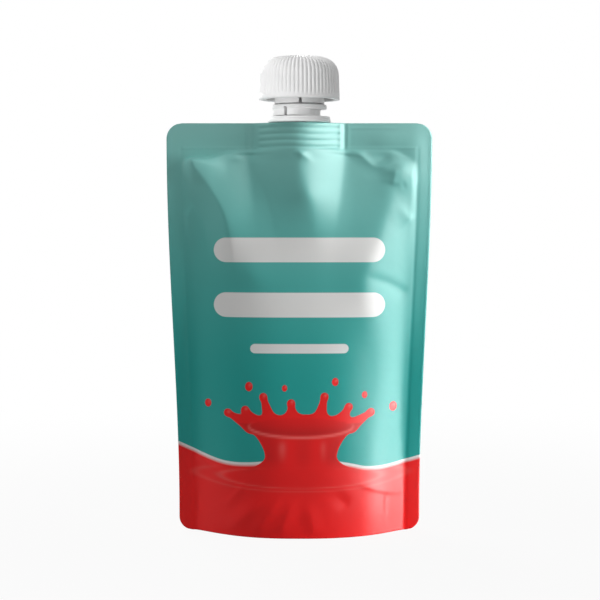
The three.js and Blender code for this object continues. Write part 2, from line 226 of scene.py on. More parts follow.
# Folds that the photograph shows on the front panel. A fold's row has its path, height, reach on the left and
# right, crest, and the shares of its length over which its ends rise. A swell's has place, height and reach.
FRONT_FOLDS: tuple[Fold | Swell, ...] = (
    # left shoulder, from the corner of the seals to the belly
    Fold(
        ((-46.9, 154.8), (-37.8, 143.2), (-30.7, 130.5), (-27.5, 116), (-25, 100)),
        height=3.8,
        left=18,
        right=9,
        crest=0.7,
        start=0.05,
        end=0.55,
        power=1.3,
        clear=5.5,
    ),
    # its upper edge, under the top seal, and the small lobe beside it
    Fold(((-46.8, 154.4), (-40, 151.8), (-34, 150.8), (-29, 151)), 1.3, 4.5, 9, 1, 0.15, 0.6, 1.5),
    Swell((-25.5, 153.8), 0.35, 3.2, 1.6),
    # valley beside the left end of the boat
    Fold(((-20.2, 156), (-20, 148), (-18.6, 133.5), (-17.5, 112)), -0.8, 11, 11, 0.8, 0.05, 0.7),
    # facet beside the left seal
    Fold(
        ((-42.4, 135.4), (-45.6, 130.7), (-46, 127), (-44.3, 120), (-40.7, 113)),
        height=0.7,
        left=6,
        right=3,
        crest=0.5,
        end=0.5,
    ),
    # soft fold across the left of the belly
    Fold(((-27, 114), (-20, 107), (-8, 102.5)), 0.6, 8, 8, 3, 0.5, 0.5),
    # sharp crest just under the boat, and the keel that runs down from it
    Fold(((-1.2, 158), (0.5, 155.6), (2.6, 154), (7, 151)), 1.0, 3, 3, 0.35, 0.15, 0.6),
    Fold(((-0.2, 157.3), (2.2, 143), (5, 133), (8.5, 112)), 2.0, 13, 12, 2.0, 0.5, 0.6),
    # valley beside the right end of the boat
    Fold(((19.1, 156), (18, 148), (16.5, 135), (14.5, 122), (14, 110)), -0.8, 9, 11, 1.6, 0.05, 0.7),
    # buckled ridge under the right of the top seal, with the bowl above it
    Fold(
        ((19.6, 157), (23.7, 156), (26.8, 153.5), (29.3, 151.1), (32, 149.9), (37, 150.8), (41, 152.8)),
        height=0.6,
        left=2.6,
        right=4.6,
        crest=0.4,
        start=0.2,
        end=0.3,
    ),
    Swell((34.6, 154), -0.5, 3.6, 1.9),
    # pocket below it, and the lobe on its right with a dimple
    Fold(((39, 150.5), (38.9, 146.5), (38.1, 142)), 0.7, 4.5, 7, 0.4, 0.35, 0.25),
    Swell((31, 149), -0.35, 5, 2.6, -25),
    Swell((42.2, 145.6), 0.6, 2.8, 5, 15),
    Swell((42.6, 142.6), -0.18, 0.9, 1.4, 20),
    # right shoulder and hip
    Fold(
        ((46.4, 154), (39.5, 144.4), (37, 134), (33, 120), (27.5, 104), (30, 84), (35, 60)),
        height=1.8,
        left=15,
        right=13,
        crest=4,
        start=0.1,
        end=0.4,
    ),
    Fold(((40, 136), (43.2, 131), (46, 128)), 0.3, 3.5, 7, 1, 0.5, 0.15),
    Fold(((24, 106), (35.6, 102.8), (45, 97.5)), -0.35, 3.8, 6.5, 0.6, 0.4, 0.15),
    # base seam on the left and the lines beside it
    Fold(((-43, 32.4), (-31, 24), (-18.4, 16)), 0.55, 2.4, 6, 0.5, 0.1, 0.5),
    Fold(((-20, 23.6), (-26, 17), (-31.7, 10.7)), 0.3, 3, 2, 0.4, 0.4, 0.4),
    Fold(((22.8, 22), (33, 18), (44.5, 15)), 0.25, 4, 1.6, 0.4, 0.3, 0.3),
    # folds that fan out to the bottom edge
    Fold(((-9, 21), (-20, 10.5), (-31, 1)), 0.75, 5, 5, 1.6, 0.5, 0.3),
    Fold(((-5, 20), (-12.5, 10), (-20, 0)), 0.6, 4, 4, 1.4, 0.5, 0.3),
    Fold(((-1, 18), (-5, 9), (-9, 0)), 0.4, 4, 4, 1.4, 0.5, 0.3),
    Fold(((2.5, 16), (4.6, 8), (7, 0)), 0.3, 4, 4, 1.4, 0.5, 0.3),
    Fold(((12, 20), (16.5, 15.5), (20.5, 12.2)), -0.35, 3.4, 5, 1.4, 0.6, 0.3),
    # lower right, where the liquid pushes the film out
    Swell((31, 14), 1.3, 11, 16),
    Fold(((35.8, 18), (35.4, 12), (35.8, 6.5)), -0.25, 0.9, 0.9, 0.3, 0.3, 0.3),
    Swell((-43.5, 12), -0.5, 2.2, 5.5),
)

# Slow waves of the flat seals, which bend both films together
SEAL_WAVES: tuple[Swell, ...] = (
    Swell((37, 161), -0.7, 9, 5),
    Swell((-30, 164), -0.3, 11, 4),
    Swell((47.5, 152), -0.6, 5, 12),
    Swell((-51, 140), 0.4, 5, 22),
    Swell((50, 96), 0.4, 4, 20),
    Swell((54, 20), 1.2, 6, 34),
    Swell((55.5, 125), 1.6, 6.5, 50),
    Swell((-49, 70), -0.4, 4, 26),
)

# Plainer folds of the back panel, which the photograph doesn't show
BACK_FOLDS: tuple[Fold | Swell, ...] = (
    Fold(((-48, 155.5), (-39, 144), (-32, 131), (-28, 116), (-26, 98)), 2.2, 9, 13, 1.8, 0.1, 0.5),
    Fold(((48, 155.5), (40, 145), (34, 133), (30, 118), (28, 100)), 2.4, 13, 9, 1.8, 0.1, 0.5),
    Fold(((-20.5, 157), (-21, 146), (-18, 118)), -1.4, 7, 7, 1.2, 0.05, 0.7),
    Fold(((20.5, 157), (21, 147), (19, 120)), -1.5, 7, 7, 1.2, 0.05, 0.7),
    Fold(((26, 154), (31, 150.5), (37, 149)), 0.9, 3, 3, 0.5, 0.3, 0.3),
    Fold(((-43.6, 33), (-33, 21), (-23.3, 12), (-14, 6.5)), 0.45, 2.4, 5, 0.5, 0.1, 0.5),
    Fold(((43.6, 33), (33, 21), (23.3, 12), (14, 6.5)), 0.45, 5, 2.4, 0.5, 0.1, 0.5),
    Fold(((-9, 16), (-13, 9), (-18, 4)), 0.6, 2.2, 2.2, 0.5, 0.5, 0.2),
    Fold(((2, 15), (3, 8), (4.5, 3)), 0.6, 2.2, 2.2, 0.5, 0.5, 0.2),
    Swell((-27, 11), 1.1, 8, 7),
    Swell((22, 12), 1.0, 8, 7),
)


# Meshes


def grid_faces(columns: int, rows: int, close_columns: bool, close_rows: bool) -> Array:
    """Numbers the four corners of each cell of a grid of points.

    Args:
        columns: Points along the first axis.
        rows: Points along the second axis.
        close_columns: Whether the last column joins the first.
        close_rows: Whether the last row joins the first.

    Returns:
        Corner indices, one row of four for each cell.
    """
    across, up = np.meshgrid(
        np.arange(columns if close_columns else columns - 1),
        np.arange(rows if close_rows else rows - 1),
        indexing="ij",
    )
    next_across = (across + 1) % columns
    next_up = (up + 1) % rows
    corners = [(across, up), (next_across, up), (next_across, next_up), (across, next_up)]
    return np.stack([(i * rows + j).ravel() for i, j in corners], axis=1)


def end_faces(first: int, ring: int, outward: bool) -> Array:
    """Closes the end of a tube whose ring is folded flat, with strips between its two halves.

    Args:
        first: Index of the ring's first point.
        ring: Points of the ring.
        outward: Whether the strips face along the tube's direction.

    Returns:
        Corner indices, one row of four for each strip.
    """
    low = np.arange(ring // 2 - 1)
    strips = np.stack([low, ring - 1 - low, ring - 2 - low, low + 1], axis=1) + first
    return strips if outward else strips[:, ::-1]


def make_mesh(name: str, points: Array, faces: Array, weld: bool = False) -> bpy.types.Mesh:
    """Makes a smooth mesh.

    Args:
        name: The mesh's name.
        points: Places in millimetres, one row each.
        faces: Corner indices, one row of four for each face.
        weld: Whether points in one place are joined, such as at a pole.

    Returns:
        The mesh, in metres.
    """
    mesh = bpy.data.meshes.new(name)
    mesh.from_pydata((points * MM).tolist(), [], faces.tolist())
    if weld:
        work = bmesh.new()
        work.from_mesh(mesh)
        bmesh.ops.remove_doubles(work, verts=work.verts, dist=WELD * MM)
        work.to_mesh(mesh)
        work.free()
    mesh.polygons.foreach_set("use_smooth", np.ones(len(mesh.polygons), dtype=bool))
    mesh.update()
    return mesh


def store(mesh: bpy.types.Mesh, field: PrintField, values: Array) -> None:
    """Keeps one number for each point of a mesh, for its material to read.

    Args:
        mesh: The mesh.
        field: What the number is.
        values: One number for each point.
    """
    attribute = mesh.attributes.new(field.value, "FLOAT", "POINT")
    attribute.data.foreach_set("value", values.astype(np.float32).ravel())


def fillet(profile: Profile, radius: float, closed: bool = False, steps: int = 4) -> Profile:
    """Rounds the corners of a profile, each with a parabola from the stretch before it to the one after.

    Args:
        profile: Corners as (radius, height).
        radius: How far before and after a corner the rounding starts, at most.
        closed: Whether the last corner joins the first.
        steps: Stretches of one rounding.

    Returns:
        The rounded profile.
    """
    corners = np.asarray(profile, dtype=float)
    count = len(corners)
    share = np.linspace(0.0, 1.0, steps + 1)[:, None]
    out: list[Array] = []
    for index, corner in enumerate(corners):
        if not closed and index in (0, count - 1):
            out.append(corner[None])
            continue
        before = corners[index - 1] - corner
        after = corners[(index + 1) % count] - corner
        reach = min(radius, ROUND_SHARE * np.hypot(*before), ROUND_SHARE * np.hypot(*after))
        start = corner + before / np.hypot(*before) * reach
        end = corner + after / np.hypot(*after) * reach
        out.append((1 - share) ** 2 * start + 2 * share * (1 - share) * corner + share**2 * end)
    return [tuple(row) for row in np.vstack(out)]


def densify(profile: Profile, longest: float, closed: bool = False) -> Array:
    """Divides the long stretches of a profile.

    Args:
        profile: Points as (radius, height).
        longest: The longest stretch that stays.
        closed: Whether the last point joins the first.

    Returns:
        The points, one row each.
    """
    points = np.asarray(profile, dtype=float)
    follow = np.roll(points, -1, axis=0) if closed else points[1:]
    runs = []
    for start, end in zip(points, follow):
        count = max(1, int(np.ceil(np.hypot(*(end - start)) / longest)))
        runs.append(lerp(start, end, np.linspace(0.0, 1.0, count, endpoint=False)[:, None]))
    return np.vstack(runs if closed else [*runs, points[-1:]])


def turned_points(radius: Array, height: Array, angle: Array) -> Array:
    """Turns radii and heights on a grid of angles and rows into places: radius times cosine and sine.

    Args:
        radius: Distance from the axis, one value for each angle and row.
        height: Height, the same way.
        angle: Angle about the axis in radians, one for each column.

    Returns:
        Places, one row each.
    """
    turn = angle[:, None]
    return np.stack([radius * np.cos(turn), radius * np.sin(turn), height], axis=2).reshape(-1, 3)


@dataclass(frozen=True)
class Thread:
    """A helical ridge on a round wall, in millimetres: a trapezoid that runs out at both ends."""

    start: float
    turns: float
    phase: float
    depth: float
    lead: float = 4.0
    root: float = 1.6
    crest: float = 0.8
    ramp: float = 0.12

    def field(self, angle: Array, height: Array) -> Array:
        """Gives the ridge's height above the wall.

        Args:
            angle: Angle about the axis, one for each column.
            height: Height, one for each column and row.

        Returns:
            Distance from the wall, one for each column and row.
        """
        around = np.mod(angle - self.phase, 2 * np.pi)[:, None] / (2 * np.pi)
        rise = (height - self.start) / self.lead - around
        whole = np.round(rise)
        off = np.abs(rise - whole) * self.lead
        turn = whole + around
        flank = np.clip((self.root / 2 - off) / ((self.root - self.crest) / 2), 0.0, 1.0)
        run_out = np.clip(np.minimum(turn, self.turns - turn) / self.ramp, 0.0, 1.0)
        return self.depth * smoothstep(flank, 0.0, 1.0) * run_out


# Materials

# Sockets of the colour mixing node
MIX_UNDER = 6
MIX_TOP = 7
MIX_COLOUR = 2

# The sRGB curve: a straight start up to a knee, and a power curve above it
CURVE_KNEE = 0.04045
CURVE_START = 12.92
CURVE_OFFSET = 0.055
CURVE_POWER = 2.4


def linear(colour: str) -> tuple[float, float, float, float]:
    """Turns an sRGB hex colour into linear light for a shader, by the standard curve.

    Args:
        colour: Such as "#1CA69F".

    Returns:
        Red, green, blue and alpha.
    """
    parts = np.array(list(bytes.fromhex(colour[1:]))) / 255
    curve = ((parts + CURVE_OFFSET) / (1 + CURVE_OFFSET)) ** CURVE_POWER
    light = np.where(parts <= CURVE_KNEE, parts / CURVE_START, curve)
    return (*light.tolist(), 1.0)


def add_node(
    tree: bpy.types.NodeTree, kind: str, inputs: dict | None = None, **settings: object
) -> bpy.types.Node:
    """Adds a shader node.

    Args:
        tree: The material's or world's node tree.
        kind: The node's type.
        inputs: For each input, by name or number, a value or the output that feeds it.
        settings: The node's own properties.

    Returns:
        The node.
    """
    node = tree.nodes.new(kind)
    for key, value in settings.items():
        setattr(node, key, value)
    for key, value in (inputs or {}).items():
        if isinstance(value, bpy.types.NodeSocket):
            tree.links.new(value, node.inputs[key])
        else:
            node.inputs[key].default_value = value
    return node


def new_material(name: str) -> tuple[bpy.types.Material, bpy.types.NodeTree]:
    """Makes an empty node material.

    Args:
        name: The material's name.

    Returns:
        The material and its node tree.
    """
    material = bpy.data.materials.new(name)
    material.use_nodes = True
    material.node_tree.nodes.clear()
    return material, material.node_tree


def patches(tree: bpy.types.NodeTree, size: float, low: float, high: float) -> bpy.types.NodeSocket:
    """Gives a number that wanders between two values over the surface.

    Args:
        tree: The material's node tree.
        size: Width of a patch, in millimetres.
        low: One value.
        high: The other value.

    Returns:
        The number.
    """
    place = add_node(tree, "ShaderNodeTexCoord").outputs["Object"]
    spread = {"Vector": place, "Scale": 1.0 / (size * MM)}
    noise = add_node(tree, "ShaderNodeTexNoise", spread).outputs["Fac"]
    reach = {"Value": noise, "To Min": low, "To Max": high}
    return add_node(tree, "ShaderNodeMapRange", reach).outputs[0]


def relief(
    tree: bpy.types.NodeTree, size: float, depth: float, under: bpy.types.NodeSocket | None = None
) -> bpy.types.NodeSocket:
    """Gives the surface direction of a fine uneven relief.

    Args:
        tree: The material's node tree.
        size: Width of its lumps, in millimetres.
        depth: Their height, in millimetres.
        under: The direction of a coarser relief below it.

    Returns:
        The direction.
    """
    inputs = {"Height": patches(tree, size, 0.0, 1.0), "Distance": depth * MM}
    if under is not None:
        inputs["Normal"] = under
    return add_node(tree, "ShaderNodeBump", inputs).outputs["Normal"]


def close_material(tree: bpy.types.NodeTree, inputs: dict) -> None:
    """Ends a material in one surface shader with the given inputs."""
    shader = add_node(tree, "ShaderNodeBsdfPrincipled", inputs)
    add_node(tree, "ShaderNodeOutputMaterial", {"Surface": shader.outputs["BSDF"]})


@dataclass(frozen=True)
class PrintLayer:
    """One ink of the film: it starts where a field has one value and covers where it has another."""

    field: PrintField
    starts: float
    covers: float
    ink: str

    def lay(
        self, tree: bpy.types.NodeTree, under: bpy.types.NodeSocket | tuple[float, float, float, float]
    ) -> bpy.types.NodeSocket:
        """Prints the ink over what is there.

        Args:
            tree: The film's node tree.
            under: The colour below.

        Returns:
            The colour with the ink on it.
        """
        value = add_node(tree, "ShaderNodeAttribute", attribute_name=self.field.value).outputs["Fac"]
        reach = {"Value": value, "From Min": self.starts, "From Max": self.covers}
        cover = add_node(tree, "ShaderNodeMapRange", reach).outputs[0]
        inputs = {0: cover, MIX_UNDER: under, MIX_TOP: linear(self.ink)}
        return add_node(tree, "ShaderNodeMix", inputs, data_type="RGBA").outputs[MIX_COLOUR]


@dataclass(frozen=True)
class PrintedFilm:
    """Satin laminate film, printed from behind: soft broad highlights over full colours. Millimetres.

    Film is never quite flat: slow waves and a fine grain break up its highlights.
    """

    # ground colours: the teal turns paler towards the top, following the fade field
    ground_top: str = "#95D7D0"
    ground_low: str = "#1CA69F"
    liquid: str = "#FF1818"
    deep: str = "#980A0C"
    light: str = "#FF7B76"
    white: str = "#F6F6F4"
    edge: float = 0.12  # half of a printed edge's softness
    rim: float = 1.9  # white rim of the wave
    rim_full: float = 1 / 3  # share of it that is full white
    roughness: tuple[float, float] = (0.34, 0.40)
    gloss: float = 0.27
    gloss_patch: float = 14.0
    wave: float = 9.0
    wave_depth: float = 0.09
    grain: float = 0.5
    grain_depth: float = 0.0025

    def layers(self) -> tuple[PrintLayer, ...]:
        """Gives the inks in the order in which they are printed over the liquid's red."""
        return (
            PrintLayer(PrintField.WAVE, -self.rim, -self.rim * self.rim_full, self.white),
            PrintLayer(PrintField.WAVE, -self.edge, self.edge, self.ground_low),
            # the ground turns paler towards the top
            PrintLayer(PrintField.FADE, 0.0, 1.0, self.ground_top),
            PrintLayer(PrintField.CROWN, self.edge, -self.edge, self.liquid),
            PrintLayer(PrintField.SHADE, 0.0, 1.0, self.deep),
            PrintLayer(PrintField.GLEAM, 0.0, 1.0, self.light),
            PrintLayer(PrintField.BARS, self.edge, -self.edge, self.white),
        )

    def material(self) -> bpy.types.Material:
        """Builds the film's material from the print fields that the mesh keeps.

        Returns:
            The material.
        """
        material, tree = new_material("printed laminate film")
        colour = linear(self.liquid)
        for layer in self.layers():
            colour = layer.lay(tree, colour)
        waves = relief(tree, self.wave, self.wave_depth)
        inputs = {
            "Base Color": colour,
            "Roughness": patches(tree, self.gloss_patch, *self.roughness),
            "Specular IOR Level": self.gloss,
            "Normal": relief(tree, self.grain, self.grain_depth, waves),
        }
        close_material(tree, inputs)
        return material


@dataclass(frozen=True)
class MouldedPlastic:
    """Injection-moulded white polyethylene: satin, slightly uneven in tone and gloss. Millimetres.

    The grain is the fine spark-eroded texture of the mould.
    """

    name: str
    colour: str = "#F7F7F7"
    shade: str = "#F2F2F2"
    shade_patch: float = 5.0
    roughness: tuple[float, float] = (0.37, 0.47)
    gloss: float = 0.4
    gloss_patch: float = 2.0
    grain: float = 0.25
    grain_depth: float = 0.003

    def material(self) -> bpy.types.Material:
        """Builds the plastic's material.

        Returns:
            The material.
        """
        material, tree = new_material(self.name)
        tones = {
            0: patches(tree, self.shade_patch, 0.0, 1.0),
            MIX_UNDER: linear(self.colour),
            MIX_TOP: linear(self.shade),
        }
        inputs = {
            "Base Color": add_node(tree, "ShaderNodeMix", tones, data_type="RGBA").outputs[MIX_COLOUR],
            "Roughness": patches(tree, self.gloss_patch, *self.roughness),
            "Specular IOR Level": self.gloss,
            "Normal": relief(tree, self.grain, self.grain_depth),
        }
        close_material(tree, inputs)
        return material


@dataclass(frozen=True)
class FoamDisc:
    """Foamed polyethylene of the sealing disc: matt, with fine cells. Millimetres."""

    colour: str = "#E6E6E1"
    cell_colour: str = "#CFCFC9"
    cell: float = 0.35
    cell_depth: float = 0.025
    roughness: float = 0.8

    def material(self) -> bpy.types.Material:
        """Builds the foam's material.

        Returns:
            The material.
        """
        material, tree = new_material("foamed polyethylene")
        place = add_node(tree, "ShaderNodeTexCoord").outputs["Object"]
        spread = {"Vector": place, "Scale": 1.0 / (self.cell * MM)}
        cells = add_node(tree, "ShaderNodeTexVoronoi", spread).outputs["Distance"]
        tones = {0: cells, MIX_UNDER: linear(self.cell_colour), MIX_TOP: linear(self.colour)}
        dents = {"Height": cells, "Distance": self.cell_depth * MM}
        inputs = {
            "Base Color": add_node(tree, "ShaderNodeMix", tones, data_type="RGBA").outputs[MIX_COLOUR],
            "Roughness": self.roughness,
            "Normal": add_node(tree, "ShaderNodeBump", dents).outputs["Normal"],
        }
        close_material(tree, inputs)
        return material


# Sub-assemblies


@dataclass
class SubAssembly:
    """A piece of the object: what it is called, what it rides on and which solids it stands for."""

    name: str
    body: Body
    slot: Slot
    nodes: tuple[str, ...]
    lit: Lit

    def place(self, mesh: bpy.types.Mesh, material: bpy.types.Material) -> bpy.types.Object:
        """Puts a finished mesh into the scene.

        Args:
            mesh: The piece's mesh.
            material: Its material.

        Returns:
            The object.
        """
        mesh.materials.append(material)
        piece = bpy.data.objects.new(self.name, mesh)
        bpy.context.scene.collection.objects.link(piece)
        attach(piece, self.body.value)
        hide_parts(*self.nodes)
        log.info("%s: %d points, %d faces", self.name, len(mesh.vertices), len(mesh.polygons))
        return piece


@dataclass(frozen=True)
class SealMarks:
    """Fine relief that the sealing jaws and the boat leave in the film. Millimetres."""

    line_width: float = 0.55  # of the grooves and of the upright lines
    groove_depth: float = 0.14  # along the inner edge of the side seals
    groove_fade: float = 1.5  # above the top seal's lower edge
    bead_height: float = 0.16  # along the top seal's lower edge
    bead_lift: float = 0.4
    bead_width: float = 0.45
    bead_clear: float = 3.0  # from the boat's ends
    bead_end: tuple[float, float] = (-0.5, 1.0)  # from the side seals
    upper_height: float = 0.1  # of the line that goes on to the right from the boat's top rib
    upper_start: tuple[float, float] = (1.0, 3.0)  # from the boat's end
    upper_end: tuple[float, float] = (5.0, 12.0)  # from the side seal
    rib_depth: float = 0.5
    rib_line: float = 166.0
    rib_pitch: float = 2.58
    rib_power: float = 0.6
    rib_sway: float = 0.2
    rib_sway_run: float = 4.0
    rib_end: float = 1.5  # from the boat's ends
    seal_start: tuple[float, float] = (-0.4, 0.6)  # about the top seal's lower edge
    # upright lines at the boat's ends: place across, height
    uprights: tuple[tuple[float, float], ...] = (
        (-18.4, 0.18),
        (-21.2, 0.14),
        (16.7, 0.2),
        (18.4, -0.12),
        (19.8, 0.14),
    )

    def field(self, x: Array, z: Array, edge: Array, seal_line: float, boat_half: float) -> Array:
        """Gives the relief: bell curves for the grooves, beads and lines, cusped waves for the boat's ribs.

        Args:
            x: Places across.
            z: Places up.
            edge: Distance from the middle to the side seals, at each place.
            seal_line: Height of the top seal's lower edge.
            boat_half: Half the length of the film over the boat.

        Returns:
            Height above the flat seal.
        """
        out = np.abs(x)
        above = z - seal_line
        side = -self.groove_depth * bell(out - edge, self.line_width)
        side *= smoothstep(self.groove_fade - above, 0.0, self.groove_fade)
        bead = self.bead_height * bell(above - self.bead_lift, self.bead_width)
        bead *= 1.0 - smoothstep(boat_half - out, 0.0, self.bead_clear)
        bead *= smoothstep(edge - out, *self.bead_end)
        upper = self.upper_height * bell(z - self.rib_line, self.bead_width)
        upper *= smoothstep(x - boat_half, *self.upper_start)
        upper *= smoothstep(edge - x, *self.upper_end)
        sway = self.rib_sway * np.sin(x / self.rib_sway_run)
        turn = np.pi * (z - self.rib_line + sway) / self.rib_pitch
        ribs = self.rib_depth * (np.abs(np.sin(turn)) ** self.rib_power - 1.0)
        ribs *= smoothstep(boat_half - self.rib_end - out, 0.0, self.rib_end)
        uprights = sum(height * bell(x - place, self.line_width) for place, height in self.uprights)
        return side + bead + upper + (ribs + uprights) * smoothstep(above, *self.seal_start)


@dataclass(frozen=True)
class PackShape:
    """Sizes of the film pack in millimetres, as in the solid."""

    marks: SealMarks = SealMarks()
    top_width: float = 109.0
    base_width: float = 99.6
    height: float = 168.0
    side_seal: float = 6.0
    top_seal: float = 10.6
    weld: float = 0.2  # half of the welded films' thickness
    top_corner: float = 6.4
    base_corner: float = 5.6
    taper_start: float = 10.0
    taper_end: float = 158.0
    belly: float = 19.6  # half depth near the base
    belly_power: float = 0.62
    tuck: float = 0.7
    tuck_height: float = 13.0
    base_inset: float = 1.2
    base_power: float = 2.6
    base_foot: float = 1.2
    base_shape: float = 48.0
    margin: float = -0.4  # flat strip between the seal and the bulge
    foot: float = 4.9  # hollow rounding where the bulge starts
    arch_power: float = 2.9
    arch_power_top: float = 1.5
    arch_run: float = 45.0
    left_dip: float = 2.8  # how far the bulge stays clear of the corners of the seals
    left_dip_run: tuple[float, float] = (24.0, 42.0)
    right_dip: float = 3.6
    right_dip_run: tuple[float, float] = (37.0, 49.0)
    boat_half: float = 18.6  # film over the boat
    boat_depth: float = 8.4
    boat_soft: float = 1.0  # rounding where the bulge takes over from the boat's ridge
    boat_crest: float = 7.0  # rounding of the film over the boat
    boat_run: float = 5.0  # how far below the seal it gives way to the fold
    fold_crest: float = 2.6  # of the fold just under it
    keel_crest: float = 7.0  # of the keel further down
    keel_run: tuple[float, float] = (4.0, 40.0)
    keel_spread: float = 0.1
    keel_end: float = 0.16  # softness of the keel's sides
    keel_end_run: tuple[float, float] = (-0.5, 6.0)
    crease_run: float = 1.8  # below the seal, over which the creases start
    seam_side: float = 32.0  # curved base seal: height at the side seals
    seam_middle: float = 3.6
    seam_power: float = 2.4
    sag: float = 10.0
    sag_power: float = 1.5
    skirt: float = 0.5
    closed_seam: float = 0.08  # height of the slot where the films are welded

    @property
    def seal_line(self) -> float:
        """Height of the top seal's lower edge."""
        return self.height - self.top_seal

    def half_width(self, z: Array) -> Array:
        """Gives half of the flat outline's width before its corners are rounded."""
        return lerp(self.base_width, self.top_width, smoothstep(z, self.taper_start, self.taper_end)) / 2

    def outline(self, z: Array) -> Array:
        """Gives half of the outline's width: the side edges with a quarter circle at each corner.

        Args:
            z: Heights.

        Returns:
            Distance from the middle to the edge.
        """
        into_top = np.clip(z - (self.height - self.top_corner), 0.0, self.top_corner)
        into_base = np.clip(self.base_corner - z, 0.0, self.base_corner)
        top_cut = self.top_corner - np.sqrt(self.top_corner**2 - into_top**2)
        base_cut = self.base_corner - np.sqrt(self.base_corner**2 - into_base**2)
        return self.half_width(z) - top_cut - base_cut

    def roof(self, x: Array, half: Array, crest: Array, run_out: Array) -> Array:
        """Gives a ridge that falls from 1 at the middle to 0 at a half length and runs out softly there."""
        fall = 1.0 - rounded(x, crest) / rounded(half, crest)
        return (fall + np.hypot(fall, run_out)) / 2

    def belly_half(self, z: Array) -> Array:
        """Gives the bulge's half depth at the middle of a panel: a power curve, tucked in at the foot."""
        filled = np.maximum(0.0, 1.0 - z / self.seal_line) ** self.belly_power
        return self.belly * filled - self.tuck * np.maximum(0.0, 1.0 - z / self.tuck_height) ** 2

    def depth(self, x: Array, z: Array, folds: tuple[Fold | Swell, ...]) -> Array:
        """Gives how far a panel stands out from the middle plane.

        The bulge is an arch across, squarer at the base, and a power curve up. The boat adds a ridge that
        spreads and softens downwards, and each fold its own field, all held to nothing at the seals.

        Args:
            x: Places across.
            z: Places up.
            folds: The panel's folds.

        Returns:
            Distance from the middle plane.
        """
        seal = self.half_width(z) - self.side_seal
        edge = seal - self.margin
        inner = edge - np.abs(x)
        dip = self.left_dip * smoothstep(-x, *self.left_dip_run)
        dip += self.right_dip * smoothstep(x, *self.right_dip_run)
        below = np.maximum(0.0, self.seal_line - dip - z)
        power = lerp(self.arch_power_top, self.arch_power, smoothstep(below, 0.0, self.arch_run))
        into = rounded(np.maximum(inner, 0.0), self.foot) / rounded(edge, self.foot)
        arch = 1.0 - (1.0 - into) ** power
        out = np.minimum(1.0, np.abs(x) / (edge - self.base_inset))
        square = (1.0 - out**self.base_power) ** self.base_foot
        belly = self.belly_half(z + dip)
        bulge = np.maximum(0.0, belly) * lerp(square, arch, smoothstep(z, 0.0, self.base_shape))
        lack = self.boat_depth - belly
        held = np.minimum((lack + np.hypot(lack, self.boat_soft)) / 2, self.boat_depth)
        crest = lerp(self.fold_crest, self.keel_crest, smoothstep(below, *self.keel_run))
        crest = lerp(self.boat_crest, crest, smoothstep(below, 0.0, self.boat_run))
        run_out = self.keel_end * smoothstep(below, *self.keel_end_run)
        keel = held * self.roof(x, self.boat_half + self.keel_spread * below, crest, run_out)
        creases = np.zeros(x.shape)
        for fold in folds:
            creases += fold.field(x, z) * smoothstep(inner, self.margin, fold.clear)
        creases *= smoothstep(below, 0.0, self.crease_run)
        marks = self.marks.field(x, z, seal, self.seal_line, self.boat_half)
        return self.weld + np.maximum(0.0, bulge + keel + creases) + marks

    def seam(self, x: Array) -> Array:
        """Gives the height of the curved base seal across the panel, a power curve out from the middle."""
        out = np.minimum(1.0, np.abs(x) / (self.base_width / 2 - self.side_seal))
        return lerp(self.seam_middle, self.seam_side, out**self.seam_power)


def soft_union(first: Array, second: Array, width: float) -> Array:
    """Joins two distance fields with a rounded corner of a width."""
    share = np.clip(0.5 + (second - first) / (2 * width), 0.0, 1.0)
    return lerp(second, first, share) - width * share * (1.0 - share)


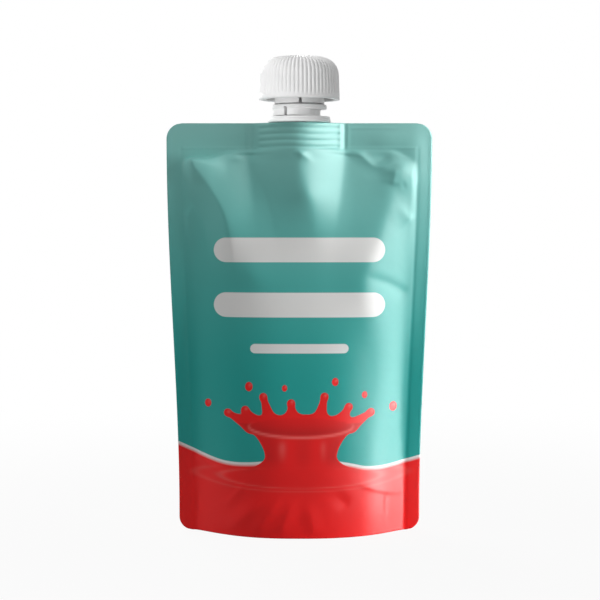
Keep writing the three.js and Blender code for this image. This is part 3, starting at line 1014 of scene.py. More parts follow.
@dataclass(frozen=True)
class SplashPrint:
    """Shapes of the printed picture: a wave, a crown of liquid with drops, and plain bars. Millimetres.

    Each field is a signed distance on the flat print, negative inside, or a share from 0 to 1.
    """

    wave: tuple[tuple[float, float], ...] = (
        (-56, 39.5),
        (-49, 36.6),
        (-40, 32.8),
        (-30, 30.4),
        (-18, 30.6),
        (0, 33),
        (18, 30.6),
        (28, 28.4),
        (38, 28.6),
        (49, 31.0),
        (56, 33.5),
    )
    middle: float = 0.6
    rim_height: float = 45.0  # oval mouth of the crown
    rim_half: float = 22.0
    rim_rise: float = 5.0
    rim_squash: float = 0.7  # share of a width by which the oval's rise shrinks
    waist: float = 14.5  # half width of the wall where it is narrowest
    waist_height: float = 33.0
    wall_power: float = 1.7
    flare: float = 12.0  # how far the wall's foot spreads
    flare_height: float = 7.0
    # fingers of the crown: place on the rim in degrees, lean from upright in degrees, length
    fingers: tuple[tuple[float, float, float], ...] = (
        (4, -58, 9.5),
        (38, -30, 6.5),
        (68, -12, 9.0),
        (100, 4, 6.0),
        (128, 16, 9.5),
        (154, 40, 6.5),
        (178, 62, 10.5),
    )
    finger_inset: float = 1.5  # of a finger's foot from the rim
    finger_foot: float = 2.7  # half width
    finger_tip: float = 1.0
    finger_join: float = 2.6
    bead: float = 1.6
    bead_join: float = 1.2
    # loose drops: place across, place up, radius
    drops: tuple[tuple[float, float, float], ...] = (
        (-37.5, 53.5, 1.5),
        (-20.5, 61.0, 1.7),
        (-6.0, 60.5, 1.2),
        (14.5, 63.0, 1.5),
        (26.5, 57.5, 1.3),
        (38.5, 52.0, 1.8),
    )
    drop_across: float = 1.1  # drops are a little taller than wide
    drop_up: float = 0.9
    fade_from: float = 60.0
    fade_to: float = 168.0
    fade_power: float = 1.6
    # bars: place up, half length, half height
    bars: tuple[tuple[float, float, float], ...] = (
        (116.3, 35.0, 5.0),
        (94.0, 35.0, 5.0),
        (76.4, 20.0, 1.9),
    )

    def wave_height(self, x: Array) -> Array:
        """Gives the height of the wave's edge across the panel."""
        path = smooth_path(self.wave)
        return np.interp(x, path[:, 0], path[:, 1])

    def fade_field(self, z: Array) -> Array:
        """Gives the share of the ground's pale colour, a power curve up from the middle of the pack."""
        return np.clip((z - self.fade_from) / (self.fade_to - self.fade_from), 0.0, 1.0) ** self.fade_power

    def bar_field(self, x: Array, z: Array) -> Array:
        """Gives the distance to the nearest of the plain bars with round ends.

        Args:
            x: Places across the print.
            z: Places up the print.

        Returns:
            Signed distance, negative inside.
        """
        field = np.full(x.shape, np.inf)
        for at, half, tall in self.bars:
            past_end = np.maximum(np.abs(x) - half + tall, 0.0)
            field = np.minimum(field, np.hypot(past_end, z - at) - tall)
        return field

    def rim_field(self, x: Array, z: Array, shrink: float) -> Array:
        """Gives the distance to the oval of the crown's mouth: how far past it, over how fast that grows.

        Args:
            x: Places across the print.
            z: Places up the print.
            shrink: Width by which the oval is made smaller.

        Returns:
            Signed distance, negative inside.
        """
        half = self.rim_half - shrink
        rise = self.rim_rise - shrink * self.rim_squash
        across = (x - self.middle) / half
        up = (z - self.rim_height) / rise
        size = np.hypot(across, up)
        slope = np.hypot(across / half, up / rise) / np.maximum(size, TINY)
        return (size - 1.0) / np.maximum(slope, TINY)

    def wall_half(self, z: Array) -> Array:
        """Gives half the width of the crown's wall: a waist that widens in curves to the rim and the liquid.

        Args:
            z: Places up the print.

        Returns:
            Half widths.
        """
        rise = np.clip((z - self.waist_height) / (self.rim_height - self.waist_height), 0.0, 1.0)
        spread = np.clip((self.waist_height - z) / self.flare_height, 0.0, 1.0)
        return self.waist + (self.rim_half - self.waist) * rise**self.wall_power + self.flare * spread**2

    def crown_field(self, x: Array, z: Array) -> Array:
        """Gives the distance to the crown: its mouth, its wall, its fingers and the loose drops.

        Args:
            x: Places across the print.
            z: Places up the print.

        Returns:
            Signed distance, negative inside.
        """
        body = np.maximum(np.abs(x - self.middle) - self.wall_half(z), z - self.rim_height)
        field = np.minimum(body, self.rim_field(x, z, 0.0))
        for finger in self.fingers:
            field = soft_union(field, self.finger_field(x, z, *finger), self.finger_join)
        for across, up, size in self.drops:
            drop = np.hypot((x - across) * self.drop_across, (z - up) * self.drop_up) - size
            field = np.minimum(field, drop)
        return field

    def finger_ends(self, at: float, lean: float, length: float) -> tuple[float, float, float, float]:
        """Gives a finger's foot on the rim and its tip, across and up each.

        Args:
            at: Place on the rim, in degrees from the right.
            lean: Lean from upright, in degrees to the left.
            length: Length of the finger.

        Returns:
            The foot's place across and up, and the tip's.
        """
        foot_x = self.middle + (self.rim_half - self.finger_inset) * np.cos(np.radians(at))
        foot_z = self.rim_height + (self.rim_rise - self.finger_inset) * np.sin(np.radians(at))
        tip_x = foot_x - length * np.sin(np.radians(lean))
        tip_z = foot_z + length * np.cos(np.radians(lean))
        return foot_x, foot_z, tip_x, tip_z

    def beads(self) -> list[tuple[float, float, float]]:
        """Gives the place and radius of the bead at each finger's tip."""
        return [(*self.finger_ends(*finger)[2:], self.bead) for finger in self.fingers]

    def finger_field(self, x: Array, z: Array, at: float, lean: float, length: float) -> Array:
        """Gives the distance to a finger that tapers up from the rim and ends in a bead.

        Args:
            x: Places across the print.
            z: Places up the print.
            at: Place on the rim, in degrees from the right.
            lean: Lean from upright, in degrees to the left.
            length: Length of the finger.

        Returns:
            Signed distance, negative inside.
        """
        foot_x, foot_z, tip_x, tip_z = self.finger_ends(at, lean, length)
        run_x = tip_x - foot_x
        run_z = tip_z - foot_z
        share = np.clip(((x - foot_x) * run_x + (z - foot_z) * run_z) / length**2, 0.0, 1.0)
        half = lerp(self.finger_foot, self.finger_tip, share)
        stem = np.hypot(x - foot_x - share * run_x, z - foot_z - share * run_z) - half
        bead = np.hypot(x - tip_x, z - tip_z) - self.bead
        return soft_union(stem, bead, self.bead_join)


@dataclass(frozen=True)
class SplashTones:
    """Deep and light inks that round the printed liquid off: widths in millimetres, and shares of ink."""

    inside_edge: float = 1.2  # softness of the deep ink at the crown's edge
    mouth_inset: float = 1.6
    mouth_edge: tuple[float, float] = (-0.4, 0.8)
    mouth_low: float = 0.55  # deep ink at the mouth's lower and upper side
    mouth_high: float = 0.12
    mouth_run: float = 4.0
    wall: float = 0.04  # deep ink on the wall, at its sides and in its folds
    wall_side: float = 0.3
    wall_side_power: float = 3.0
    wall_fold: float = 0.16
    fold_width: float = 1.9
    fold_phase: float = 1.0
    fold_run: tuple[float, float] = (1.0, 7.0)  # below the rim
    wall_top: float = 1.0  # above the rim
    wall_run: float = 8.0  # below the waist
    shadow: float = 0.12  # deep ink in the oval shadow on the liquid
    shadow_half: float = 21.0
    shadow_height: float = 23.0
    shadow_rise: float = 6.5
    lip: float = 0.85  # light ink on the mouth's lip
    lip_inset: float = 0.9
    lip_width: float = 0.5
    lip_run: tuple[float, float] = (-2.0, 2.0)  # below the rim
    glint: float = 0.7  # light ink on beads and drops: place and size as shares of their radius
    glint_across: float = 0.3
    glint_up: float = 0.35
    glint_size: float = 0.36
    streak: float = 0.35  # light ink down the wall
    streak_run: float = 4.0
    streak_top: float = 4.5  # below the rim
    # streaks: place from the middle, width, strength
    streaks: tuple[tuple[float, float, float], ...] = ((-7.5, 1.5, 1.0), (9.0, 1.1, 0.7))
    ripple_half: float = 33.0  # oval ripples on the liquid
    ripple_height: float = 24.5
    ripple_rise: float = 4.2
    ripple_run: tuple[float, float] = (-7.0, -4.0)  # from the waist
    # ripples: distance and width as shares of the oval, light ink
    ripples: tuple[tuple[float, float, float], ...] = ((0.0, 0.06, 0.3), (0.32, 0.07, 0.2))

    def shade_field(self, splash: SplashPrint, x: Array, z: Array) -> Array:
        """Gives the share of the deep print colour.

        It is deep in the crown's mouth, runs down the wall in soft folds that darken towards its sides, and
        lies as a soft oval shadow on the liquid below.

        Args:
            splash: Shapes of the picture.
            x: Places across the print.
            z: Places up the print.

        Returns:
            Share from 0 to 1.
        """
        off = x - splash.middle
        down = splash.rim_height - z
        inside = smoothstep(-splash.crown_field(x, z), 0.0, self.inside_edge)
        mouth = smoothstep(-splash.rim_field(x, z, self.mouth_inset), *self.mouth_edge)
        depth = lerp(self.mouth_low, self.mouth_high, smoothstep(-down, -self.mouth_run, self.mouth_run))
        side = np.clip(np.abs(off) / splash.wall_half(z), 0.0, 1.0) ** self.wall_side_power
        folds = (1.0 + np.sin(off / self.fold_width + self.fold_phase)) / 2 * smoothstep(down, *self.fold_run)
        above = smoothstep(z - splash.waist_height, -self.wall_run, 0.0)
        wall = self.wall + self.wall_side * side + self.wall_fold * folds
        wall *= above * inside * (-down < self.wall_top)
        shadow = self.shadow * bell(off, self.shadow_half) * bell(z - self.shadow_height, self.shadow_rise)
        return np.clip(lerp(wall, depth, mouth) + shadow * (1.0 - above), 0.0, 1.0)

    def gleam_field(self, splash: SplashPrint, x: Array, z: Array) -> Array:
        """Gives the share of the light print colour, all of it bell curves.

        It lies on the mouth's lip, in a glint on each bead and drop, in streaks down the wall and in ripples.

        Args:
            splash: Shapes of the picture.
            x: Places across the print.
            z: Places up the print.

        Returns:
            Share from 0 to 1.
        """
        off = x - splash.middle
        down = splash.rim_height - z
        lip = bell(splash.rim_field(x, z, self.lip_inset), self.lip_width) * smoothstep(down, *self.lip_run)
        glints = np.zeros(x.shape)
        for across, up, size in (*splash.drops, *splash.beads()):
            far = np.hypot(x - across - size * self.glint_across, z - up - size * self.glint_up)
            glints += bell(far, self.glint_size * size)
        streaks = sum(strength * bell(off - place, width) for place, width, strength in self.streaks)
        streaks *= smoothstep(z - splash.waist_height, -self.streak_run, self.streak_run)
        streaks *= smoothstep(down - self.streak_top, 0.0, self.streak_run)
        oval = np.hypot(off / self.ripple_half, (z - self.ripple_height) / self.ripple_rise) - 1.0
        ripples = sum(ink * bell(oval - place, width) for place, width, ink in self.ripples)
        ripples *= 1.0 - smoothstep(z - splash.waist_height, *self.ripple_run)
        return np.clip(self.lip * lip + self.glint * glints + self.streak * streaks + ripples, 0.0, 1.0)


@dataclass
class FilmPack(SubAssembly):
    """The filled film pack: two panels, their seals, and the gusset folded into the base. Millimetres."""

    shape: PackShape = PackShape()
    picture: SplashPrint = SplashPrint()
    tones: SplashTones = SplashTones()
    film: PrintedFilm = PrintedFilm()
    columns: int = 176
    rows: int = 262
    row_crowding: float = 0.06
    base_points: int = 14
    wall_points: int = 4  # how many of them are on the skirt
    base_middle: float = 0.04  # share of the half depth that the gusset stops short of the middle
    base_clear: float = 0.02  # least height of the gusset's film
    base_share: float = 0.4  # least share of the half depth inside the skirt
    top_share: float = 0.5
    opening: tuple[float, float] = (0.3, 2.0)  # half depths over which the films part
    slot_depth: float = 2.4
    slot_across: tuple[float, ...] = (1.0, 0.98, 0.5, 0.05)  # steps in to the middle, as shares
    slot_down: tuple[float, ...] = (0.0, 0.9, 1.0, 1.1)
    off_print: float = 50.0  # distance that stands for no print

    def heights(self) -> Array:
        """Gives the rows' heights, closer together at the rounded corners and in the top quarter."""
        share = np.linspace(0.0, 1.0, self.rows)
        return self.shape.height * (share - self.row_crowding * np.sin(2 * np.pi * share))

    def panel(self, sign: float, folds: tuple[Fold | Swell, ...]) -> Array:
        """Makes one panel's points.

        Args:
            sign: -1 for the front, 1 for the back.
            folds: The panel's folds.

        Returns:
            Places, by column and row.
        """
        z = np.broadcast_to(self.heights(), (self.columns, self.rows))
        x = np.linspace(-1.0, 1.0, self.columns)[:, None] * self.shape.outline(z)
        sway = sum(wave.field(x, z) for wave in SEAL_WAVES)
        y = sign * self.shape.depth(x * -sign, z, folds) + sway
        return np.stack([x, y, z], axis=2)

    def base_half(self, edge: Array, sign: float) -> Array:
        """Makes half of the gusset, from the bottom edge of one panel up its skirt and in to the middle.

        Inside the skirt the film goes straight up to the curved seal, and sags from there in a parabola.

        Args:
            edge: The panel's bottom row, one place for each column.
            sign: -1 for the front, 1 for the back.

        Returns:
            Places, by column and step, from the middle out to the edge.
        """
        width = np.abs(edge[:, 1:2])
        inner = np.maximum(width - self.shape.skirt, width * self.base_share)
        is_open = smoothstep(inner, *self.opening)
        seam = np.maximum(self.shape.seam(edge[:, 0:1]) * is_open, self.shape.closed_seam)
        sag = self.shape.sag * (inner / np.max(width)) ** self.shape.sag_power
        wall = np.linspace(1.0, 0.0, self.wall_points + 1)[None, 1:]
        span = np.linspace(self.base_middle, 1.0, self.base_points - self.wall_points)[None, :]
        dip = sag * is_open + self.shape.closed_seam / 2
        film = np.maximum(seam - dip * (1.0 - span**2), self.base_clear)
        y = np.concatenate([span * inner, np.broadcast_to(inner, (self.columns, self.wall_points))], axis=1)
        z = np.concatenate([film, seam * wall], axis=1)
        x = np.broadcast_to(edge[:, 0:1], y.shape)
        return np.stack([x, sign * y, z], axis=2)

    def top_half(self, edge: Array, sign: float) -> Array:
        """Makes half of the slot over the boat, from one panel's top edge down and in to the middle.

        Args:
            edge: The panel's top row, one place for each column.
            sign: -1 for the front, 1 for the back.

        Returns:
            Places, by column and step, from the edge in to the middle.
        """
        width = np.abs(edge[:, 1:2])
        inner = np.maximum(width - self.shape.skirt, width * self.top_share)
        drop = np.maximum(self.slot_depth * smoothstep(inner, *self.opening), self.shape.closed_seam)
        y = sign * inner * np.array(self.slot_across)
        z = self.shape.height - drop * np.array(self.slot_down)
        return np.stack([np.broadcast_to(edge[:, 0:1], y.shape), y, z], axis=2)

    def build(self) -> bpy.types.Object:
        """Makes the pack as one closed skin and keeps its print fields.

        Returns:
            The pack.
        """
        front = self.panel(-1.0, FRONT_FOLDS)
        back = self.panel(1.0, BACK_FOLDS)
        ring = np.concatenate(
            [
                self.base_half(front[:, 0], -1.0),
                front,
                self.top_half(front[:, -1], -1.0),
                self.top_half(back[:, -1], 1.0)[:, ::-1],
                back[:, ::-1],
                self.base_half(back[:, 0], 1.0)[:, ::-1],
            ],
            axis=1,
        )
        count = ring.shape[1]
        faces = np.vstack(
            [
                grid_faces(self.columns, count, False, True),
                end_faces((self.columns - 1) * count, count, True),
                end_faces(0, count, False),
            ]
        )
        mesh = make_mesh(self.name, ring.reshape(-1, 3), faces)
        self.print_on(mesh, ring)
        return self.place(mesh, self.film.material())

    def print_on(self, mesh: bpy.types.Mesh, ring: Array) -> None:
        """Keeps the print's fields on the mesh. The back panel and the gusset have the wave alone.

        Args:
            mesh: The pack's mesh.
            ring: Its places, by column and step round the pack.
        """
        x = ring[:, :, 0]
        z = ring[:, :, 2]
        on_front = np.zeros(ring.shape[1], dtype=bool)
        on_front[self.base_points : self.base_points + self.rows] = True
        picture = self.picture
        store(mesh, PrintField.WAVE, z - picture.wave_height(x))
        store(mesh, PrintField.FADE, picture.fade_field(z))
        store(mesh, PrintField.CROWN, np.where(on_front, picture.crown_field(x, z), self.off_print))
        store(mesh, PrintField.SHADE, np.where(on_front, self.tones.shade_field(picture, x, z), 0.0))
        store(mesh, PrintField.GLEAM, np.where(on_front, self.tones.gleam_field(picture, x, z), 0.0))
        store(mesh, PrintField.BARS, np.where(on_front, picture.bar_field(x, z), self.off_print))


@dataclass
class Spout(SubAssembly):
    """The spout: weld boat, flange, collar with its bead, threaded neck and open bore. Millimetres."""

    plastic: MouldedPlastic = MouldedPlastic("moulded polyethylene, spout")
    thread: Thread = Thread(start=184.5, turns=1.25, phase=0.0, depth=1.1)
    columns: int = 144
    fineness: float = 0.25  # longest stretch of the profile
    edge_round: float = 0.35
    foot: float = 164.6
    foot_radius: float = 6.9
    bore: float = 5.9
    flange_radius: float = 12.8
    flange_bottom: float = 168.3
    flange_step: float = 169.5  # above it the flange is narrower
    step_rise: float = 0.1
    step_radius: float = 12.5
    flange_top: float = 170.5
    collar_radius: float = 8.6
    bead_radius: float = 9.3
    bead_bottom: float = 174.3
    bead_top: float = 174.8
    bead_slope: float = 0.3
    neck_radius: float = 7.8
    mouth: float = 191.7
    mouth_edge: float = 0.5
    boat_columns: int = 49
    boat_rows: int = 40
    boat_half: float = 17.6
    boat_depth: float = 7.4
    boat_crest: float = 6.0
    boat_bottom: float = 157.9
    boat_top: float = 166.9
    boat_edge: float = 0.004  # half thickness of its pointed ends, as a share of the depth
    boat_ribs: int = 4
    rib_depth: float = 0.2

    def neck(self) -> tuple[Array, Array]:
        """Makes the turned part: a closed profile about the axis, with the thread raised on the neck.

        Returns:
            Places and faces.
        """
        corners: Profile = [
            (self.foot_radius, self.foot),
            (self.foot_radius, self.flange_bottom),
            (self.flange_radius, self.flange_bottom),
            (self.flange_radius, self.flange_step),
            (self.step_radius, self.flange_step + self.step_rise),
            (self.step_radius, self.flange_top),
            (self.collar_radius, self.flange_top),
            (self.collar_radius, self.bead_bottom - self.bead_slope),
            (self.bead_radius, self.bead_bottom),
            (self.bead_radius, self.bead_top),
            (self.neck_radius, self.bead_top + self.bead_slope),
            (self.neck_radius, self.mouth - self.mouth_edge),
            (self.neck_radius - self.mouth_edge, self.mouth),
            (self.bore, self.mouth),
            (self.bore, self.foot),
        ]
        profile = densify(fillet(corners, self.edge_round, closed=True), self.fineness, closed=True)
        angle = np.linspace(0.0, 2 * np.pi, self.columns, endpoint=False)
        shape = (self.columns, len(profile))
        radius = np.broadcast_to(profile[:, 0], shape)
        height = np.broadcast_to(profile[:, 1], shape)
        on_neck = np.abs(radius - self.neck_radius) < TOUCH
        ridge = self.thread.field(angle, height) * on_neck
        points = turned_points(radius + ridge, height, angle)
        return points, grid_faces(self.columns, len(profile), True, True)

    def boat(self) -> tuple[Array, Array]:
        """Makes the weld boat: a pointed outline pulled up, with waves for ribs, closed at both ends.

        Returns:
            Places and faces.
        """
        across = np.linspace(-1.0, 1.0, self.boat_columns) * self.boat_half
        fall = 1.0 - rounded(across, self.boat_crest) / rounded(self.boat_half, self.boat_crest)
        roof = np.maximum(0.0, fall) + self.boat_edge
        x = np.concatenate([across, across[::-1]])
        y = np.concatenate([-roof, roof[::-1]])
        z = np.linspace(self.boat_bottom, self.boat_top, self.boat_rows)
        turn = 2 * np.pi * np.linspace(0.0, self.boat_ribs, self.boat_rows)
        depth = self.boat_depth - self.rib_depth * (1.0 + np.cos(turn))
        shape = (len(z), len(x))
        sides = [np.broadcast_to(x, shape), np.outer(depth, y), np.broadcast_to(z[:, None], shape)]
        faces = [
            grid_faces(len(z), len(x), False, True)[:, ::-1],
            end_faces((len(z) - 1) * len(x), len(x), False),
            end_faces(0, len(x), True),
        ]
        return np.stack(sides, axis=2).reshape(-1, 3), np.vstack(faces)

    def build(self) -> bpy.types.Object:
        """Makes the spout.

        Returns:
            The spout.
        """
        neck, neck_faces = self.neck()
        boat, boat_faces = self.boat()
        points = np.vstack([neck, boat])
        faces = np.vstack([neck_faces, boat_faces + len(neck)])
        return self.place(make_mesh(self.name, points, faces), self.plastic.material())


@dataclass
class TamperBand(SubAssembly):
    """The loose ring under the cap, with a skirt on its left half and a slit in front. Millimetres."""

    plastic: MouldedPlastic = MouldedPlastic("moulded polyethylene, band")
    columns: int = 720
    fineness: float = 0.3  # longest stretch of the profile
    edge_round: float = 0.22
    edge: float = 0.3  # slope at the ring's edges
    bottom: float = 170.8
    top: float = 175.4
    bore: float = 8.9
    lip_top: float = 173.7  # inside, where the bore widens
    ring_height: float = 2.0
    ring_bore: float = 9.6
    ring_radius: float = 11.2
    slit_middle: float = -5.6
    slit_half: float = 0.55
    skirt_radius: float = 10.8
    tail_radius: float = 9.15
    tail_start: float = -3.5  # where the skirt starts to close in on the collar
    tail_end: float = 5.0

    def build(self) -> bpy.types.Object:
        """Makes the band: a closed profile about the axis whose lower rows are lifted where it is cut.

        The skirt's outside runs in towards the collar before it ends, in a soft step across.

        Returns:
            The band.
        """
        ring_bottom = self.top - self.ring_height
        corners: Profile = [
            (self.bore, self.bottom),
            (self.skirt_radius, self.bottom),
            (self.skirt_radius, ring_bottom),
            (self.ring_radius, ring_bottom + self.edge),
            (self.ring_radius, self.top - self.edge),
            (self.ring_radius - self.edge, self.top),
            (self.ring_bore, self.top),
            (self.ring_bore, self.lip_top),
            (self.bore, self.lip_top),
        ]
        profile = densify(fillet(corners, self.edge_round, closed=True), self.fineness, closed=True)
        angle = np.linspace(0.0, 2 * np.pi, self.columns, endpoint=False)
        across = self.skirt_radius * np.cos(angle)
        in_slit = (np.abs(across - self.slit_middle) < self.slit_half) & (np.sin(angle) < 0)
        cut = np.where(across > self.tail_end, ring_bottom, self.bottom)
        cut = np.where(in_slit, ring_bottom + self.ring_height / 2, cut)
        shape = (self.columns, len(profile))
        height = np.maximum(np.broadcast_to(profile[:, 1], shape), cut[:, None])
        on_skirt = np.clip((ring_bottom + self.edge - profile[:, 1]) / self.edge, 0.0, 1.0)
        on_skirt *= profile[:, 0] > self.tail_radius
        close_in = np.outer(smoothstep(across, self.tail_start, self.tail_end), on_skirt)
        radius = lerp(np.broadcast_to(profile[:, 0], shape), self.tail_radius, close_in)
        radius = np.where(in_slit[:, None], np.maximum(radius, self.ring_bore), radius)
        points = turned_points(radius, height, angle)
        faces = grid_faces(self.columns, len(profile), True, True)
        return self.place(make_mesh(self.name, points, faces, weld=True), self.plastic.material())


@dataclass
class ScrewCap(SubAssembly):
    """The ribbed cap: fluted dome, plain rim, hollow with webs, and slotted threaded tube. Millimetres."""

    plastic: MouldedPlastic = MouldedPlastic("moulded polyethylene, cap")
    thread: Thread = Thread(start=184.5, turns=1.0, phase=np.pi, depth=1.0)
    fineness: float = 0.9  # longest stretch of the profile
    inside_round: float = 0.25
    outside_round: float = 0.2
    round_steps: int = 2
    hollow_points: int = 10
    shoulder_points: int = 16
    crown_points: int = 5
    flutes: int = 60
    flute_steps: int = 8
    flute_depth: float = 0.5
    flute_power: float = 0.65
    flute_top: tuple[float, float] = (4.0, 8.5)  # radii where the flutes run out on the crown
    rim: float = 177.5
    rim_band: float = 2.0
    fade: float = 0.7  # of the flutes above the plain rim
    top: float = 195.1
    radius: float = 16.5
    taper: float = 0.3
    wall: float = 1.75
    dome_wall: float = 2.15
    shoulder_height: float = 8.8
    shoulder_power: float = 2.4
    crown_radius: float = 6.8
    crown_rise: float = 0.15
    ceiling: float = 193.5
    bore: float = 9.2
    tube_radius: float = 10.2
    tube_bottom: float = 175.7
    slots: int = 4
    slot_half: float = 0.6
    slot_height: float = 2.4
    slot_turn: float = -88.0  # degrees from the right; the front is at -90
    webs: int = 8
    web_half: float = 0.45
    web_out: float = 2.0  # distance from the tube at which that is their half width
    web_drop: float = 3.0

    @property
    def shoulder(self) -> float:
        """Height where the wall turns into the dome."""
        return self.top - self.shoulder_height

    def inside(self) -> Array:
        """Gives the profile of the inside, from the ceiling's middle down the bore and over to the rim.

        Returns:
            Places as (radius, height).
        """
        inner = self.radius - self.taper - self.wall
        rise = self.shoulder_height - self.dome_wall
        arc = np.linspace(np.pi / 2, 0.0, self.hollow_points)
        dome_radius = lerp(self.tube_radius, inner, np.cos(arc))
        dome_height = self.shoulder + rise * np.sin(arc)
        corners: Profile = [
            (0.0, self.ceiling),
            (self.bore, self.ceiling),
            (self.bore, self.tube_bottom),
            (self.tube_radius, self.tube_bottom),
            *zip(dome_radius, dome_height),
            (inner, self.rim),
        ]
        return densify(fillet(corners, self.inside_round, steps=self.round_steps), self.fineness)

    def outside(self) -> Array:
        """Gives the profile of the outside, from the rim up the wall and over the shoulder to the axis.

        The shoulder is a quarter of a superellipse and the crown a flat parabola.

        Returns:
            Places as (radius, height).
        """
        power = 2 / self.shoulder_power
        arc = np.linspace(0.0, np.pi / 2, self.shoulder_points)
        side = self.radius - self.taper
        round_radius = lerp(self.crown_radius, side, np.cos(arc) ** power)
        round_height = lerp(self.shoulder, self.top - self.crown_rise, np.sin(arc) ** power)
        crown_radius = np.linspace(self.crown_radius, 0.0, self.crown_points)[1:]
        crown_height = self.top - self.crown_rise * (crown_radius / self.crown_radius) ** 2
        corners: Profile = [
            (self.radius, self.rim),
            *zip(round_radius, round_height),
            *zip(crown_radius, crown_height),
        ]
        return densify(fillet(corners, self.outside_round, steps=self.round_steps), self.fineness)

    def grooves(self, profile: Array, angle: Array) -> Array:
        """Gives the flutes' depth: a cusped wave round the axis that runs out at the rim and on the crown.

        Args:
            profile: Places as (radius, height).
            angle: Angles in radians.

        Returns:
            Depth, by angle and row.
        """
        band = self.rim + self.rim_band
        share = smoothstep(profile[:, 1], band, band + self.fade) * smoothstep(profile[:, 0], *self.flute_top)
        wave = 1.0 - np.abs(np.sin(self.flutes * angle / 2)) ** self.flute_power
        return self.flute_depth * np.outer(wave, share)

    def near(self, angle: Array, count: int, first: float, half: float) -> Array:
        """Tells which angles lie close to one of some evenly spread directions.

        Args:
            angle: Angles in radians.
            count: Number of directions.
            first: The first direction.
            half: How close, in radians.

        Returns:
            Whether each angle is close.
        """
        step = 2 * np.pi / count
        off = np.mod(angle - first + step / 2, step) - step / 2
        return np.abs(off) < half

    def build(self) -> bpy.types.Object:
        """Makes the cap from one profile about the axis.

        Flutes draw the outside in, square to the profile. The thread stands on the bore, slots lift the
        tube's lower rows, and webs hold the hollow's ceiling down.

        Returns:
            The cap.
        """
        inside = self.inside()
        profile = np.vstack([inside, self.outside()])
        is_inside = np.arange(len(profile)) < len(inside)
        count = self.flutes * self.flute_steps
        angle = np.linspace(0.0, 2 * np.pi, count, endpoint=False)
        along = np.gradient(profile, axis=0)
        along /= np.maximum(np.hypot(along[:, 0], along[:, 1]), TINY)[:, None]
        depth = self.grooves(profile, angle) * ~is_inside
        radius = profile[:, 0] - depth * along[:, 1]
        height = profile[:, 1] + depth * along[:, 0]
        on_bore = is_inside & (np.abs(profile[:, 0] - self.bore) < TOUCH)
        radius -= self.thread.field(angle, height) * on_bore
        on_tube = is_inside & (profile[:, 0] < self.tube_radius + TOUCH) & (profile[:, 1] < self.shoulder)
        slot = self.near(angle, self.slots, np.radians(self.slot_turn), self.slot_half / self.tube_radius)
        lift = np.where(slot, self.tube_bottom + self.slot_height, self.tube_bottom)
        height = np.where(on_tube, np.maximum(height, lift[:, None]), height)
        in_hollow = is_inside & (profile[:, 0] > self.tube_radius - TOUCH)
        web = self.near(angle, self.webs, 0.0, self.web_half / (self.tube_radius + self.web_out))
        held = np.where(web, self.shoulder - self.web_drop, self.top)
        height = np.where(in_hollow, np.minimum(height, held[:, None]), height)
        points = turned_points(radius, height, angle)
        faces = grid_faces(count, len(profile), True, False)
        return self.place(make_mesh(self.name, points, faces, weld=True), self.plastic.material())


@dataclass
class CapLiner:
    """The sealing disc, which keeps its solid and gets a foam finish."""

    node: str = "cap_liner"
    foam: FoamDisc = FoamDisc()

    def dress(self) -> bpy.types.Object:
        """Gives the solid its finish.

        Returns:
            The disc.
        """
        disc = bpy.data.objects[self.node]
        disc.data.materials.clear()
        disc.data.materials.append(self.foam.material())
        log.info("%s: dressed", self.node)
        return disc


# Studio


PLAIN_WHITE = (1.0, 1.0, 1.0, 1.0)


def turn_towards(
    holder: bpy.types.Object, stand: tuple[float, float, float], aim: tuple[float, float, float]
) -> None:
    """Puts a lamp or camera at a place and turns it towards another.

    Args:
        holder: The lamp or camera.
        stand: Its place, in metres.
        aim: What it looks at.
    """
    holder.location = stand
    holder.rotation_euler = (Vector(aim) - Vector(stand)).to_track_quat("-Z", "Y").to_euler()


@dataclass(frozen=True)
class Softbox:
    """An area lamp, by its direction from the object in degrees, to the right and up. Metres and watts."""

    name: str
    azimuth: float
    elevation: float
    distance: float
    height: float  # of the place that it looks at
    size: tuple[float, float]
    power: float
    lit: Lit
    sheen_only: bool = False  # whether it shows in highlights alone

    def stand(self) -> tuple[float, float, float]:
        """Gives the lamp's place.

        Returns:
            The place, in metres.
        """
        turn = np.radians(self.azimuth)
        lift = np.radians(self.elevation)
        out = self.distance * np.cos(lift)
        return out * np.sin(turn), -out * np.cos(turn), self.height + self.distance * np.sin(lift)

    def build(self, receivers: dict[Lit, bpy.types.Collection]) -> None:
        """Sets the lamp up.

        Args:
            receivers: What each kind of lamp shines on. A kind that isn't named shines on everything.
        """
        lamp = bpy.data.lights.new(self.name, "AREA")
        lamp.shape = "RECTANGLE"
        lamp.size, lamp.size_y = self.size
        lamp.energy = self.power
        holder = bpy.data.objects.new(self.name, lamp)
        bpy.context.scene.collection.objects.link(holder)
        turn_towards(holder, self.stand(), (0.0, 0.0, self.height))
        holder.visible_diffuse = not self.sheen_only
        if self.lit in receivers:
            holder.light_linking.receiver_collection = receivers[self.lit]


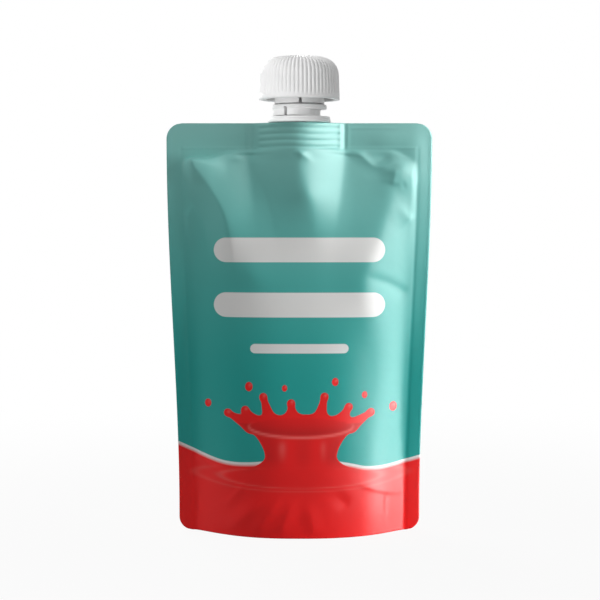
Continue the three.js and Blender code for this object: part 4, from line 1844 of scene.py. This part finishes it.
@dataclass(frozen=True)
class Studio:
    """White floor and surroundings, soft lamps and the camera. Metres, and the photograph's pixels."""

    distance: float = 0.65
    eye: float = 0.131
    tilt: float = 3.13  # degrees down
    focal_px: float = 1579.0
    frame_px: float = 600.0
    shift_px: float = 0.58
    sensor: float = 36.0  # millimetres
    nearest: float = 0.01
    fill: float = 0.08
    floor_columns: int = 96
    floor_rings: tuple[float, ...] = (0.0, 0.9, 3.0)
    floor_drop: float = 0.05  # millimetres
    floor_colour: str = "#EDEDED"
    floor_white: float = 0.94
    floor_fade: tuple[float, float] = (0.08, 0.45)
    lamps: tuple[Softbox, ...] = (
        Softbox("side key", 76.0, 5.0, 0.70, 0.11, (0.26, 0.55), 5.2, Lit.FILM),
        Softbox("left fill", -90.0, 19.8, 0.80, 0.1, (0.35, 0.35), 1.9, Lit.FILM),
        Softbox("front above", 22.6, 38.0, 0.60, 0.16, (0.3, 0.3), 0.95, Lit.FILM),
        Softbox("side sheen", 54.0, 18.0, 0.69, 0.11, (0.35, 0.5), 8.5, Lit.FILM, True),
        Softbox("edge sheen", 80.0, -3.0, 0.70, 0.03, (0.3, 0.4), 5.0, Lit.FILM, True),
        Softbox("cap left", -100.0, 60.0, 0.80, 0.18, (0.4, 0.4), 1.65, Lit.PLASTIC),
        Softbox("cap front left", -40.0, 30.0, 0.80, 0.18, (0.4, 0.4), 1.7, Lit.PLASTIC),
        Softbox("cap front right", 30.0, 30.0, 0.80, 0.18, (0.4, 0.4), 0.65, Lit.PLASTIC),
        Softbox("cap right", 100.0, 30.0, 0.80, 0.18, (0.4, 0.4), 0.6, Lit.PLASTIC),
        Softbox("cap bounce", -38.0, -24.0, 0.40, 0.18, (0.3, 0.3), 1.0, Lit.PLASTIC),
        Softbox("neck bounce", 70.0, -24.0, 0.40, 0.18, (0.3, 0.3), 0.24, Lit.PLASTIC),
        Softbox("overhead", 180.0, 78.7, 1.02, 0.1, (0.8, 0.8), 1.3, Lit.ALL),
        Softbox("back", -153.4, 24.1, 0.98, 0.1, (0.5, 0.5), 4.0, Lit.ALL),
    )

    def seen_directly(self, tree: bpy.types.NodeTree) -> bpy.types.NodeSocket:
        """Gives 1 for rays that show the surroundings: from the camera, a mirror or glass.

        Args:
            tree: The node tree.

        Returns:
            The socket with the share.
        """
        path = add_node(tree, "ShaderNodeLightPath").outputs
        either = {0: path["Is Camera Ray"], 1: path["Is Glossy Ray"]}
        shown = add_node(tree, "ShaderNodeMath", either, operation="MAXIMUM").outputs[0]
        either = {0: shown, 1: path["Is Transmission Ray"]}
        return add_node(tree, "ShaderNodeMath", either, operation="MAXIMUM").outputs[0]

    def build_world(self) -> None:
        """Makes surroundings that look white and give a soft fill light."""
        world = bpy.data.worlds.new("studio")
        bpy.context.scene.world = world
        world.use_nodes = True
        tree = world.node_tree
        tree.nodes.clear()
        reach = {"Value": self.seen_directly(tree), "To Min": self.fill, "To Max": 1.0}
        strength = add_node(tree, "ShaderNodeMapRange", reach).outputs[0]
        inputs = {"Color": PLAIN_WHITE, "Strength": strength}
        light = add_node(tree, "ShaderNodeBackground", inputs).outputs[0]
        add_node(tree, "ShaderNodeOutputWorld", {"Surface": light})

    def floor_material(self) -> bpy.types.Material:
        """Builds the floor's finish: matt for light and shadow, and white where it is seen further out.

        Returns:
            The material.
        """
        material, tree = new_material("studio floor")
        matt = add_node(tree, "ShaderNodeBsdfDiffuse", {"Color": linear(self.floor_colour)}).outputs[0]
        white = add_node(tree, "ShaderNodeEmission", {"Color": PLAIN_WHITE, "Strength": 1.0}).outputs[0]
        place = add_node(tree, "ShaderNodeTexCoord").outputs["Object"]
        away = add_node(tree, "ShaderNodeVectorMath", {0: place}, operation="LENGTH").outputs["Value"]
        fade = {
            "Value": away,
            "From Min": self.floor_fade[0],
            "From Max": self.floor_fade[1],
            "To Min": self.floor_white,
            "To Max": 1.0,
        }
        whiteness = add_node(tree, "ShaderNodeMapRange", fade, interpolation_type="SMOOTHSTEP").outputs[0]
        seen = {0: self.seen_directly(tree), 1: whiteness}
        share = add_node(tree, "ShaderNodeMath", seen, operation="MULTIPLY").outputs[0]
        mixed = add_node(tree, "ShaderNodeMixShader", {0: share, 1: matt, 2: white}).outputs[0]
        add_node(tree, "ShaderNodeOutputMaterial", {"Surface": mixed})
        return material

    def build_floor(self) -> None:
        """Makes a pale floor that keeps a soft shadow and runs into the white surroundings."""
        angle = np.linspace(0.0, 2 * np.pi, self.floor_columns, endpoint=False)
        shape = (self.floor_columns, len(self.floor_rings))
        radius = np.broadcast_to(np.array(self.floor_rings) / MM, shape)
        points = turned_points(radius, np.full(shape, -self.floor_drop), angle)
        mesh = make_mesh("floor", points, grid_faces(*shape, True, False)[:, ::-1], weld=True)
        mesh.materials.append(self.floor_material())
        floor = bpy.data.objects.new("floor", mesh)
        bpy.context.scene.collection.objects.link(floor)
        floor.visible_glossy = False
        floor.visible_shadow = False

    def build_camera(self) -> None:
        """Sets the camera where the photograph was taken from."""
        data = bpy.data.cameras.new("camera")
        data.sensor_width = self.sensor
        data.lens = self.focal_px / self.frame_px * self.sensor
        data.shift_x = self.shift_px / self.frame_px
        data.clip_start = self.nearest
        camera = bpy.data.objects.new("camera", data)
        bpy.context.scene.collection.objects.link(camera)
        aim = (0.0, 0.0, self.eye - self.distance * np.tan(np.radians(self.tilt)))
        turn_towards(camera, (0.0, -self.distance, self.eye), aim)
        bpy.context.scene.camera = camera

    def build(self, pieces: dict[bpy.types.Object, Lit]) -> None:
        """Sets up the whole studio.

        Args:
            pieces: The object's pieces and the lamps that they belong to.
        """
        bpy.context.scene.view_settings.view_transform = "Standard"
        receivers = {kind: bpy.data.collections.new(kind.value) for kind in (Lit.FILM, Lit.PLASTIC)}
        for piece, kind in pieces.items():
            receivers[kind].objects.link(piece)
        self.build_world()
        self.build_floor()
        self.build_camera()
        for lamp in self.lamps:
            lamp.build(receivers)
        log.info("studio: %d lamps", len(self.lamps))


def main() -> None:
    """Builds the pouch and its studio."""
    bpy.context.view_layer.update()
    parts = (
        FilmPack("film_pack", Body.PACK, Slot.FILM, ("pouch",), Lit.FILM),
        Spout("welded_spout", Body.PACK, Slot.SPOUT, ("spout",), Lit.PLASTIC),
        TamperBand("breakaway_band", Body.PACK, Slot.SPOUT, ("tamper_band",), Lit.PLASTIC),
        ScrewCap("ribbed_cap", Body.CAP, Slot.CAP, ("cap",), Lit.PLASTIC),
    )
    pieces = {part.build(): part.lit for part in parts}
    pieces[CapLiner().dress()] = Lit.PLASTIC
    Studio().build(pieces)


if __name__ == "__main__":
    main()
